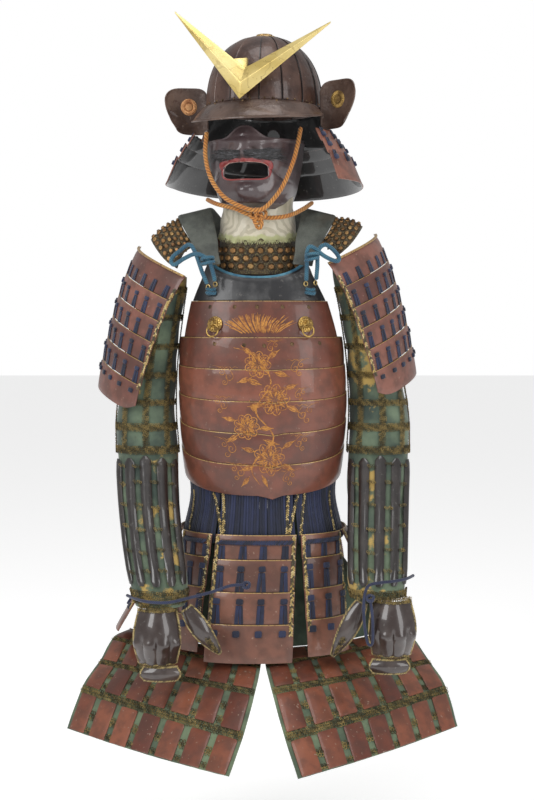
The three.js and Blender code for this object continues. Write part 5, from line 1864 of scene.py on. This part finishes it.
def mask_point(angle, z, grow=0.0):
    half, depth, nose, cheek = mask_rows(z)
    turn = np.radians(angle)
    bump = nose * np.exp(-(angle / 13) ** 2) + cheek * np.exp(-((np.abs(angle) - 42) / 16) ** 2)
    return in_place(points((half + grow) * squarer(np.sin(turn)),
                           -(depth + grow) * squarer(np.cos(turn)) - bump * np.cos(turn), z),
                    MASK_YAW, (MASK_SHIFT, 0, 0))


def mask_top(angle):
    return 134 + 25 * np.exp(-(angle / 17) ** 2) + 10 * (np.abs(angle) / 95) ** 3


def mask_relief(a, z):
    """How far the hammered features stand out, at a millimetres across and z up."""
    side = np.abs(a)
    bell = lambda x, y, wide, high: np.exp(-((side - x) / wide) ** 2 - ((z - y) / high) ** 2)
    wings = 6.5 * bell(14, 106, 7, 7) - 4.5 * bell(9, 96, 5, 4)
    crease = 60 - 46 * ((z - 66) / 44)  # the fold from the nose down past the corners of the mouth
    fold = np.exp(-((side - crease) / 4.5) ** 2) * np.clip((z - 54) / 10, 0, 1) * np.clip((114 - z) / 8, 0, 1)
    cheek = 4.5 * bell(50, 108, 20, 13) + 1.6 * bell(62, 84, 14, 10)
    bags = 2.2 * np.exp(-((z - 126 - 0.12 * side) / 3.2) ** 2) * np.clip(side / 24, 0, 1)
    chin = 6.0 * bell(0, 36, 26, 12) - 2.6 * bell(0, 52, 30, 4.5)
    jaw = 2.4 * np.exp(-((side - 58) / 12) ** 2 - ((z - 40) / 18) ** 2)
    bridge = 2.0 * bell(0, 142, 7, 4) - 1.6 * bell(0, 136, 12, 3)
    return wings - 3.6 * fold + cheek + bags + chin + jaw + bridge


work = new_work()
bmesh.ops.create_grid(work, x_segments=128, y_segments=96, size=1)
degrees_at = lambda t: 60 * t + 36 * t ** 3
across_at = lambda t: 79.5 * float(squarer(math.sin(math.radians(degrees_at(t)))))
slit = [e for e in work.edges if all(abs(v.co.y) < 1e-6 and abs(across_at(v.co.x)) < MOUTH_HALF for v in e.verts)]
bmesh.ops.split_edges(work, edges=slit)
rows = []
for vert in work.verts:
    t, level = vert.co.x, vert.co.y
    angle, a = degrees_at(t), across_at(t)
    above = level > 0 or (level == 0 and vert.link_faces[0].calc_center_median().y > 0)
    reach = (float(mask_top(angle)) - MOUTH_LEVEL) if above else MOUTH_LEVEL - 6
    out = abs(level) * reach
    open_by = MOUTH_RISE * max(0, 1 - abs(a / MOUTH_HALF) ** 4) ** 0.25
    out = open_by + out * (1 - open_by / reach)
    rows.append((angle, MOUTH_LEVEL + (out if above else -out), a))
rows = np.array(rows)
rim = np.clip(1 - (mask_top(rows[:, 0]) - rows[:, 1]) / 4, 0, 1) + np.clip((np.abs(rows[:, 0]) - 93) / 3, 0, 1)
outward = mask_relief(rows[:, 2], rows[:, 1]) + 1.6 * rim
for vert, spot in zip(work.verts, mask_point(rows[:, 0], rows[:, 1], outward) * MM):
    vert.co = spot


def mask_iron(name):
    paint = Paint(name, roughness=0.42, coat=0.5)
    cloud = paint.noise(14.0, 5.0).band(0.3, 0.72)
    colour = paint.blend(cloud, (0.050, 0.031, 0.034), (0.105, 0.074, 0.074))
    scuff = paint.noise(95.0, 5.0).band(0.6, 0.74)
    colour = paint.blend(scuff * 0.55, colour, (0.20, 0.16, 0.15))
    dirt = paint.noise(33.0, 5.0).band(0.6, 0.78)
    paint.set(Base_Color=paint.blend(dirt * 0.7, colour, (0.028, 0.018, 0.016)), Roughness=0.34 + scuff * 0.25)
    paint.set(Normal=paint.bump(paint.noise(120.0, 5.0), 0.4))
    return paint.material


MASK_IRON = mask_iron("mask_iron")
face = bent("mask_shell", work, None, MASK_IRON, "mask_lacquer", replaces=["mask"], smooth=70)
wall = face.modifiers.new("wall", "SOLIDIFY")
wall.thickness, wall.offset = 2.4 * MM, -1


def lip_point(turn, out, lift):
    x, z = np.cos(turn), np.sin(turn)
    fit = (np.abs(x) ** 4 + np.abs(z) ** 4) ** -0.25
    a = (MOUTH_HALF + out) * x * fit
    level = MOUTH_LEVEL + (MOUTH_RISE + out) * z * fit
    half = mask_rows(level)[0]
    share = np.minimum(1, np.abs(a) / half) ** (1 / 0.87)
    angle = np.degrees(np.sign(a) * np.arcsin(share))
    return mask_point(angle, level, mask_relief(a, level) + lift)


# The lips are one ring of lacquer, thick above and thin below, with a pale inner edge.
work = new_work()
bmesh.ops.create_grid(work, x_segments=120, y_segments=14, size=0.5)
mark(work, work.faces, -0.5, 0.5)
flat = np.array([vert.co[:] for vert in work.verts]) + 0.5
turn, section = 2 * np.pi * flat[:, 0], 2 * np.pi * flat[:, 1]
upper = 0.5 + 0.5 * np.tanh(3 * np.sin(turn))
thick, proud = mix(1.7, 4.6, upper), mix(1.8, 3.6, upper)
lips = lip_point(turn, thick * 0.8 + thick * np.cos(section), 1.2 + proud * np.sin(section))
for vert, spot in zip(work.verts, lips * MM):
    vert.co = spot
bmesh.ops.remove_doubles(work, verts=work.verts, dist=1e-6)


def lip_lacquer(name):
    paint = Paint(name, roughness=0.38, coat=0.4)
    _, section = paint.uv()
    inner = (section - 0.5).math("ABSOLUTE").band(0.12, 0.05)
    chip = paint.noise(130.0, 4.0).band(0.58, 0.7)
    red = paint.blend(paint.noise(40.0, 3.0).band(0.35, 0.7), (0.20, 0.018, 0.020), (0.30, 0.045, 0.04))
    pale = paint.blend(chip, (0.55, 0.33, 0.28), (0.30, 0.10, 0.08))
    paint.set(Base_Color=paint.blend(inner, paint.blend(chip * 0.6, red, (0.06, 0.025, 0.02)), pale))
    paint.set(Normal=paint.bump(paint.noise(160.0, 3.0), 0.2))
    return paint.material


bent("mask_lips_red", work, None, lip_lacquer("lip_lacquer"), "red_lips", replaces=["mask_lips"], smooth=80)

# moustache: fine dark hairs combed out from under the nose


def mask_surface(u, v):
    angle = mix(-96, 96, u)
    return mask_point(angle, mix(150, 20, v), 1.0)


hair_form = Form(mask_surface)
hair_middle = x_at(hair_form, 0.5)
hairs = []
for k in range(300):
    hand = 1 if k % 2 else -1
    share = (k * 0.618) % 1
    root = (hair_middle + hand * (3 + 22 * share), -(150 - mix(96, 105, (k * 0.37) % 1)))
    long = mix(34, 66, (k * 0.271) % 1)
    rise = mix(-9, 12, (k * 0.443) % 1) - 5 * share
    path = [(root[0] + hand * long * s, root[1] + rise * s - 9 * s * (1 - s) * mix(0.2, 1.4, (k * 0.77) % 1)) for s in
            np.linspace(0, 1, 9)]
    touches = brushed(path, 1.25, 2.0)
    touches[:, 5] = 0.9
    touches[:, 6] = 2 + 3.0 * np.sin(np.pi * np.linspace(0.1, 1, len(touches))) + 3 * ((k * 0.19) % 1)
    hairs.append(touches)


def dark_hair(name):
    paint = Paint(name, roughness=0.55, sheen=0.1)
    own, _ = paint.uv("Piece")
    paint.set(Base_Color=paint.ramp(own, (0.0, (0.012, 0.011, 0.012)), (0.7, (0.03, 0.028, 0.03)), (1.0, (0.09, 0.09, 0.10))))
    return paint.material


scatter("moustache", dash(), np.concatenate(hairs), hair_form, dark_hair("dark_hair"), "black_lacquer")

# ---- Helmet bowl and brim ------------------------------------------------------------------------
# Sixteen plates of russet iron overlap round the bowl, each with a raised dark edge. Rivets hold them to
# the brim, and a gilt ring closes the hole at the crown.

HELMET_AT, HELMET_YAW = (3, 10, 204), -18
BOWL_WIDE, BOWL_LONG, BOWL_HIGH = 113, 126, 142


def on_helmet(local):
    return in_place(local, HELMET_YAW, HELMET_AT)


HELMET_PLACE = (Matrix.Scale(MM, 4) @ Matrix.Translation(HELMET_AT)
                @ Matrix.Rotation(math.radians(HELMET_YAW), 4, "Z"))


def bowl_local(turn, rise, grow=0.0):
    level = np.sin(rise * np.pi / 2)
    reach = np.clip(1 - np.clip(level, 0, 1) ** 2.3, 0, None) ** (1 / 2.3)
    a = np.radians(turn)
    return points((BOWL_WIDE + grow) * reach * np.sin(a), -(BOWL_LONG + grow) * reach * np.cos(a),
                  (BOWL_HIGH + grow) * level)


SEAMS = [-15, *np.linspace(15, 345, 16)]
PLATE_STEPS = ((0, 0), (0.012, 2.4), (0.035, 2.6), (0.06, 1.5), (0.2, 1.9), (0.45, 1.7), (0.75, 1.0), (0.985, 0.2))


def russet_iron(name, dark=(0.036, 0.017, 0.013), light=(0.11, 0.058, 0.042), seam=False):
    """Iron rusted to an even brown and rubbed with oil, with its hammer marks."""
    paint = Paint(name, roughness=0.4, metallic=0.25, coat=0.25)
    cloud = paint.noise(16.0, 6.0, roughness=0.6).band(0.3, 0.7)
    colour = paint.blend(cloud, dark, light)
    rust = paint.noise(85.0, 5.0).band(0.55, 0.72)
    colour = paint.blend(rust * 0.7, colour, (0.055, 0.020, 0.012))
    bare = paint.noise(140.0, 4.0).band(0.64, 0.72)
    colour = paint.blend(bare * 0.5, colour, (0.24, 0.19, 0.16))
    if seam:
        across, _ = paint.uv("Piece")
        colour = paint.blend(across.band(0.036, 0.012) + across.band(0.955, 0.985), colour, (0.012, 0.008, 0.008))
    hammer = paint.cells(130.0, feature="SMOOTH_F1")
    paint.set(Base_Color=colour, Roughness=0.33 + cloud * 0.12 + rust * 0.2)
    paint.set(Normal=paint.bump(hammer + paint.noise(210.0, 4.0) * 0.5, 0.55))
    return paint.material


work = new_work()
steps = len(PLATE_STEPS)
bmesh.ops.create_grid(work, x_segments=16 * steps, y_segments=26, size=0.5)
piece_layer = work.loops.layers.uv["Piece"]
column_of = lambda vert: round((vert.co.x + 0.5) * 16 * steps)
for face in work.faces:
    first = min(column_of(vert) for vert in face.verts)
    for loop in face.loops:
        k = column_of(loop.vert) - first + first % steps
        loop[piece_layer].uv = (1.0 if k == steps else PLATE_STEPS[k][0], first // steps / 16)
rows = []
for vert in work.verts:
    column, share = column_of(vert), vert.co.y + 0.5
    k, step = (column // steps) % 16, column % steps
    inside, lift = PLATE_STEPS[step]
    rows.append((mix(SEAMS[k], SEAMS[k + 1], inside), 0.935 * share, lift * (1 - 0.6 * share)))
rows = np.array(rows)
for vert, spot in zip(work.verts, on_helmet(bowl_local(rows[:, 0], rows[:, 1], rows[:, 2])) * MM):
    vert.co = spot
bmesh.ops.remove_doubles(work, verts=work.verts, dist=1e-6)
bowl = bent("helmet_plates", work, None, russet_iron("russet_iron_plates", seam=True), "russet_iron",
            replaces=["helmet_bowl"], smooth=40)
wall = bowl.modifiers.new("wall", "SOLIDIFY")
wall.thickness, wall.offset = 2.5 * MM, -1
RUSSET_IRON = russet_iron("russet_iron_brim", (0.05, 0.028, 0.021), (0.15, 0.095, 0.072))


def bowl_surface(u, v):
    return on_helmet(bowl_local(360 * u - 180, 0.93 * (1 - v), 1.5))


bowl_form = Form(bowl_surface)
heads = []
for turn in SEAMS[:-1]:
    for aside in (5, -9):
        u = ((turn + aside + 180) % 360) / 360
        heads.append((x_at(bowl_form, u), -bowl_form.deep + 5, 0, 4.6, 4.6, 2.4, 0))
scatter("bowl_rivets", star_head(), heads, bowl_form, STUD_METAL, "gilt")
# four studs with a tuft of cord stand high on the bowl
heads = [(x_at(bowl_form, ((turn + 180) % 360) / 360), -bowl_form.deep * 0.46, 0, 8.5, 8.5, 6.5, 0)
         for turn in (47, 133, 227, 313)]
scatter("bowl_studs", flower_stud(), heads, bowl_form, STUD_METAL, "gilt")
tufts = [(x + 4 * math.cos(t), y - 6 + 3 * math.sin(t), math.degrees(t), 11, 3, 3, 0.5) for x, y, *_ in heads
         for t in (0.5, 1.8, 2.9, 4.4)]
scatter("bowl_tufts", strand(2), tufts, bowl_form, NAVY_SILK, "navy_silk")


def lathe(work, profile, steps=40):
    """Spins a closed outline of (radius, height) about +Z."""
    verts = [work.verts.new((radius, 0, height)) for radius, height in profile]
    edges = [work.edges.new(pair) for pair in zip(verts, verts[1:] + verts[:1])]
    bmesh.ops.spin(work, geom=verts + edges, cent=(0, 0, 0), axis=(0, 0, 1), steps=steps, angle=2 * math.pi,
                   use_merge=True)


work = new_work()
lathe(work, [(14, -1), (26, -2.4), (28, -1.4), (26.5, 0.6), (20, 2.2), (14, 2.6)])
lathe(work, [(12.8, -2), (14.6, -2), (15.4, 4), (15.8, 6.4), (14.2, 6.8), (13, 5)])
for count, long, wide, start, high, depth in ((16, 9.5, 6.8, 16, 1.9, 0.8), (24, 5, 4.6, 22.6, 1.5, -0.6)):
    petals = new_work()
    wheel(petals, count, long, wide, start, high, depth, 6)
    bmesh.ops.rotate(petals, verts=petals.verts, cent=(0, 0, 0), matrix=Matrix.Rotation(-math.pi / 2, 3, "X"))
    spare = bpy.data.meshes.new("spare")
    petals.to_mesh(spare)
    petals.free()
    work.from_mesh(spare)
CROWN_GILT = aged_gilt("crown_gilt", (0.60, 0.42, 0.20), (0.22, 0.14, 0.06))
whole("crown_petals", work, HELMET_PLACE @ Matrix.Translation((0, 0, BOWL_HIGH - 0.5)), CROWN_GILT, "gilt",
      replaces=["crown_ring"])

BRIM_DROP, BRIM_OUT, BRIM_END = 37, 40, 76


def brim_surface(u, v):
    turn = mix(-BRIM_END, BRIM_END, u)
    taper = np.clip(np.cos(np.radians(turn / 82 * 90 * 0.92)), 0.01, 1) ** 0.5
    spot = bowl_local(turn, 0, 3.4)
    v = np.clip(v, 0, None)
    out = BRIM_OUT * taper * v
    a = np.radians(turn)
    return on_helmet(points(spot[..., 0] + np.sin(a) * out, spot[..., 1] - np.cos(a) * out,
                            2 - (BRIM_DROP * taper + 4) * v ** 1.25))


brim_form = Form(brim_surface)


def brim_roll(co):
    edge = brim_form.deep + co.y
    return Vector((co.x, co.y, co.z + 1.8 * math.exp(-((edge - 1.5) / 2.0) ** 2) - 0.5 * math.exp(-((edge - 7) / 2) ** 2)))


work = new_work()
plate(work, 0, 0, brim_form.wide, brim_form.deep, 2.5, 72, 30, brim_roll, base=-2.5, corner=9)
soften(work, 0.8, 60)
bent("brim_iron", work, brim_form, RUSSET_IRON, "russet_iron", replaces=["brim"])
heads = [(share * brim_form.wide, -6, 20, 6, 6, 3, 0) for share in (0.07, 0.3, 0.5, 0.7, 0.93)]
scatter("brim_rivets", star_head(), heads, brim_form, STUD_METAL, "gilt")

# ---- Neck guard and ears -------------------------------------------------------------------------
# Four lames of lacquered iron run round the back, russet outside and black inside, laced together with
# dark cord. The ends of the first turn out into two ears, each with a fluted gilt disc.

NECK_LAMES = [
    # top, hem, reach at the top and at the hem, end in degrees
    (4, -53, 4, 24, 92),
    (-47, -72, 25.5, 40, 64),
    (-67, -97, 41.5, 58, 64),
    (-92, -147, 59.5, 83, 64),
]


def neck_surface(top, hem, reach_top, reach_hem, end, first):
    def surface(u, v):
        turn = np.radians(mix(end, 360 - end, u))
        reach = mix(reach_top, reach_hem, v)
        back = 14 * np.clip(-np.cos(turn), 0, None) * (v if first else 1)
        return on_helmet(points((BOWL_WIDE + reach) * np.sin(turn), -(BOWL_LONG + reach * 0.9) * np.cos(turn),
                                mix(top, hem, v) - back))

    return surface


def lined(piece, inside):
    """Gives the inner faces of a bent plate their own finish."""
    piece.data.materials.append(inside)
    return piece


NECK_LACQUER = lacquer("neck_guard_lacquer", (0.15, 0.05, 0.035), (0.33, 0.13, 0.085), gilt_edge=0.0, wear=1.0)
INSIDE_BLACK = black_lacquer("neck_guard_inside", (0.003, 0.003, 0.004), (0.012, 0.012, 0.013))
INSIDE_BLACK.node_tree.nodes["Principled BSDF"].inputs["Coat Weight"].default_value = 1.0
for k, sizes in enumerate(NECK_LAMES):
    form = Form(neck_surface(*sizes, k == 0))
    work = new_work()

    def curl_edge(co, form=form):
        edge = form.deep + co.y
        return Vector((co.x, co.y, co.z + 1.2 * math.exp(-((edge - 1.5) / 2.0) ** 2)))

    plate(work, 0, 0, form.wide, form.deep, 2.5, 90, 8, curl_edge, base=-2.5)
    for face in work.faces:
        face.normal_update()
    soften(work, 0.6, 60)
    bmesh.ops.recalc_face_normals(work, faces=work.faces)
    for face in work.faces:
        face.material_index = 1 if face.normal.z < -0.5 else 0
    lined(bent(f"neck_lame_{k + 1}", work, form, NECK_LACQUER, "russet_lacquer",
               replaces=[f"neck_guard_{k + 1}"]), INSIDE_BLACK)
    if k:
        columns = [14, form.wide - 14, *np.linspace(60, form.wide - 60, 11)]
        knots = [(x, -13, steady.uniform(-8, 8), 11, 9, 5, 0) for x in columns]
        cords = [(x + hand * 3.2, -4, -90, 11, 4.2, 2.6, 0) for x in columns for hand in (-1, 1)]
        scatter(f"neck_knots_{k + 1}", knot_head(), knots, form, NAVY_SILK, "navy_silk")
        scatter(f"neck_cords_{k + 1}", strand(2), cords, form, NAVY_SILK, "navy_silk")

EAR_INNER, EAR_Y, EAR_LOW, EAR_HIGH, EAR_WIDE = 117, -4, -43, 50, 78
EAR_FORWARD, EAR_HOLLOW, EAR_LEAN = 0.42, 9, 0.064


def ear_surface(sign):
    def surface(u, v):
        u, v = (u if sign > 0 else 1 - u), 1 - v
        inside = np.clip(u, 0, 1)
        round_share = np.sqrt(np.clip(1 - (2 * inside - 1) ** 4, 0, None))
        wide = EAR_WIDE * mix(0.7, 1, np.sin(np.pi * mix(0, 0.6, v)))
        return on_helmet(points(sign * (EAR_INNER + wide * u),
                                EAR_Y - EAR_FORWARD * EAR_WIDE * u + EAR_HOLLOW * 4 * u * (1 - u) - 6 * v,
                                mix(EAR_LOW + 12 * (1 - round_share), EAR_HIGH - 22 * (1 - round_share), v)))

    return surface


EAR_GILT = {
    "right": aged_gilt("ear_disc_copper", (0.62, 0.34, 0.16), (0.38, 0.17, 0.075), 0.5),
    "left": aged_gilt("ear_disc_gilt", (0.50, 0.33, 0.11), (0.17, 0.10, 0.035), 0.45),
}
for side, sign in SIDES:
    form = Form(ear_surface(sign))
    work = new_work()

    def ear_rim(co, form=form):
        edge = min(co.x, form.wide - co.x, -co.y, form.deep + co.y)
        return Vector((co.x, co.y, co.z + 1.4 * math.exp(-((edge - 1.2) / 1.6) ** 2)))

    plate(work, 0, 0, form.wide, form.deep, 2.5, 40, 40, ear_rim, base=-2.5)
    soften(work, 0.7, 60)
    bent("ear_iron_" + side, work, form, RUSSET_IRON, "russet_iron", replaces=["helmet_ear_" + side])
    seat = form.surface(np.array(0.5), np.array(0.4))
    work = new_work()
    disc(work, 16.5, 1.8, 0, 0.5)
    wheel(work, 28, 8.5, 3.2, 7.4, 1.6, 1.8, 6)
    disc(work, 7.4, 2.2, 1.8, 0.8, 24)
    turn = (Matrix.Rotation(math.radians(HELMET_YAW) - sign * math.atan(EAR_FORWARD), 4, "Z")
            @ Matrix.Rotation(EAR_LEAN, 4, "X"))
    place = Matrix.Scale(MM, 4) @ Matrix.Translation(seat) @ turn
    whole("ear_disc_" + side, work, place, EAR_GILT[side], "gilt")

# ---- Crest ---------------------------------------------------------------------------------------
# Two long gilt blades meet in a V. Each is folded along its middle, and a socket behind the point
# slides down over the flat tongue on the bowl.

CREST_POINT, CREST_NOTCH, CREST_TIP, CREST_TIP_WIDE = (0, -150, 0), (-5, -140, 56), (155, -138, 153), 3
CREST_RIDGE, CREST_ROLL = 9, 7.4
CREST_PLACE = HELMET_PLACE @ Matrix.Rotation(math.radians(CREST_ROLL), 4, "Y")


def crest_local(u, v):
    along = np.abs(v)
    tip = np.array(CREST_TIP, float)
    low = mix(np.array(CREST_POINT, float), tip - (0, 0, CREST_TIP_WIDE / 2), along[:, None])
    high = mix(np.array(CREST_NOTCH, float), tip + (0, 0, CREST_TIP_WIDE / 2), along[:, None])
    spot = mix(high, low, u[:, None])
    spot[:, 0] *= np.sign(v)
    spot[:, 1] -= CREST_RIDGE * (1 - np.abs(2 * u - 1)) * (1 - 0.8 * along)
    return spot


def gold_leaf(name):
    paint = Paint(name, roughness=0.34, metallic=0.75)
    tone = paint.noise(7.0, 4.0).band(0.3, 0.7)
    colour = paint.blend(tone, (0.62, 0.44, 0.11), (0.80, 0.66, 0.30))
    speck = paint.noise(190.0, 4.0).band(0.66, 0.72)
    scratch = paint.node("ShaderNodeTexWave", {"bands_direction": "DIAGONAL"},
                         {"Vector": paint.place(), "Scale": 14.0, "Distortion": 14.0, "Detail": 4.0}, "Fac").band(0.96, 1.0)
    colour = paint.blend(speck * 0.8 + scratch * 0.25, colour, (0.16, 0.09, 0.03))
    paint.set(Base_Color=colour, Roughness=0.3 + tone * 0.12 + speck * 0.2, Metallic=0.8 - tone * 0.35)
    paint.set(Normal=paint.bump(paint.noise(60.0, 4.0), 0.25))
    return paint.material


GOLD_LEAF = gold_leaf("gold_leaf")
for hand in (-1, 1):
    work = new_work()
    bmesh.ops.create_grid(work, x_segments=36, y_segments=10, size=0.5)
    mark(work, work.faces, -0.5, 0.5)
    flat = np.array([vert.co[:] for vert in work.verts]) + 0.5
    blade = crest_local(1 - flat[:, 1], np.where(flat[:, 0] < 1e-9, 1e-9, flat[:, 0]) * hand)
    if hand < 0:
        blade[flat[:, 0] < 1e-9, 0] = -CREST_NOTCH[0] * (flat[flat[:, 0] < 1e-9, 1])
    for vert, spot in zip(work.verts, blade):
        vert.co = spot
    if hand < 0:
        bmesh.ops.reverse_faces(work, faces=work.faces)
    base = [f for f in work.faces]
    made = bmesh.ops.extrude_face_region(work, geom=base)["geom"]
    bmesh.ops.translate(work, verts=[g for g in made if isinstance(g, bmesh.types.BMVert)], vec=(0, -1.8, 0))
    soften(work, 0.35, 35)
    name = "crest_blade_" + ("right" if hand < 0 else "left")
    whole(name, work, CREST_PLACE, GOLD_LEAF, "gilt", "crest", ["front_crest"] if hand < 0 else ())

TONGUE_Y, TONGUE_LOW, TONGUE_WIDE, TONGUE_HIGH, TONGUE_THICK = -132, 4, 16, 54, 3
work = new_work()
made = bmesh.ops.create_cube(work, size=1, matrix=Matrix.Translation((0, TONGUE_Y, TONGUE_LOW + TONGUE_HIGH / 2))
                             @ Matrix.Diagonal((TONGUE_WIDE, TONGUE_THICK, TONGUE_HIGH, 1)))
soften(work, 0.9)
whole("tongue_iron", work, HELMET_PLACE, RUSSET_IRON, "russet_iron", replaces=["crest_tongue"])

# the socket: a flat gilt sleeve, open below
work = new_work()
outer = bmesh.ops.create_cube(work, size=1, matrix=Matrix.Translation((-3, TONGUE_Y, 50))
                              @ Matrix.Diagonal((25, 9, 56, 1)))
bottom = [f for f in work.faces if f.calc_center_median().z < 23]
bmesh.ops.inset_individual(work, faces=bottom, thickness=1.6, depth=0)
bmesh.ops.translate(work, verts=bottom[0].verts, vec=(0, 0, 44))
soften(work, 0.6)
whole("crest_socket", work, HELMET_PLACE, GOLD_LEAF, "gilt", "crest")

# ---- Floor, light and camera ---------------------------------------------------------------------
# A plain pale floor well below the hem, soft light from large panels, and a camera a little below
# breast height that looks slightly down.

FLOOR = -1.30
bpy.ops.mesh.primitive_plane_add(size=30, location=(0, 8, FLOOR))
floor = bpy.context.object
floor.name = "studio_floor"
floor_paint = Paint("pale_floor", roughness=0.9)
floor_paint.set(Base_Color=(0.92, 0.92, 0.92), Emission_Color=(1, 1, 1), Emission_Strength=0.46)
floor.data.materials.append(floor_paint.material)

# The background is white, and its light on the object is weaker than the lamps'.
world = bpy.data.worlds.new("studio")
world.use_nodes = True
nodes, links = world.node_tree.nodes, world.node_tree.links
soft = nodes["Background"]
soft.inputs["Color"].default_value, soft.inputs["Strength"].default_value = (1, 1, 1, 1), 0.42
white = nodes.new("ShaderNodeBackground")
white.inputs["Color"].default_value, white.inputs["Strength"].default_value = (1, 1, 1, 1), 1.0
seen, chosen = nodes.new("ShaderNodeLightPath"), nodes.new("ShaderNodeMixShader")
links.new(seen.outputs["Is Camera Ray"], chosen.inputs[0])
links.new(soft.outputs[0], chosen.inputs[1])
links.new(white.outputs[0], chosen.inputs[2])
links.new(chosen.outputs[0], nodes["World Output"].inputs["Surface"])
bpy.context.scene.world = world
bpy.context.scene.view_settings.view_transform = "Standard"

LIGHTS = [
    # name, place, what it looks at, width, height, power
    ("key", (-2.2, -2.6, 1.6), (0, 0, -0.2), 1.6, 2.2, 60),
    ("fill", (2.4, -2.4, 0.6), (0, 0, -0.3), 1.2, 2.4, 34),
    ("top", (0.2, -0.6, 2.6), (0, 0, 0), 1.6, 1.6, 26),
]
for name, place, target, wide, high, power in LIGHTS:
    lamp = bpy.data.lights.new(name, "AREA")
    lamp.shape, lamp.size, lamp.size_y, lamp.energy = "RECTANGLE", wide, high, power
    light = bpy.data.objects.new(name, lamp)
    light.location = place
    light.rotation_euler = (Vector(target) - Vector(place)).to_track_quat("-Z", "Y").to_euler()
    bpy.context.scene.collection.objects.link(light)

camera_data = bpy.data.cameras.new("camera")
camera_data.lens, camera_data.sensor_width = 58.5, 36
camera = bpy.data.objects.new("camera", camera_data)
camera.location = (0.008, -2.6, -0.21)
camera.rotation_euler = (math.radians(90 - 3.52), 0, 0)
bpy.context.scene.collection.objects.link(camera)
bpy.context.scene.camera = camera
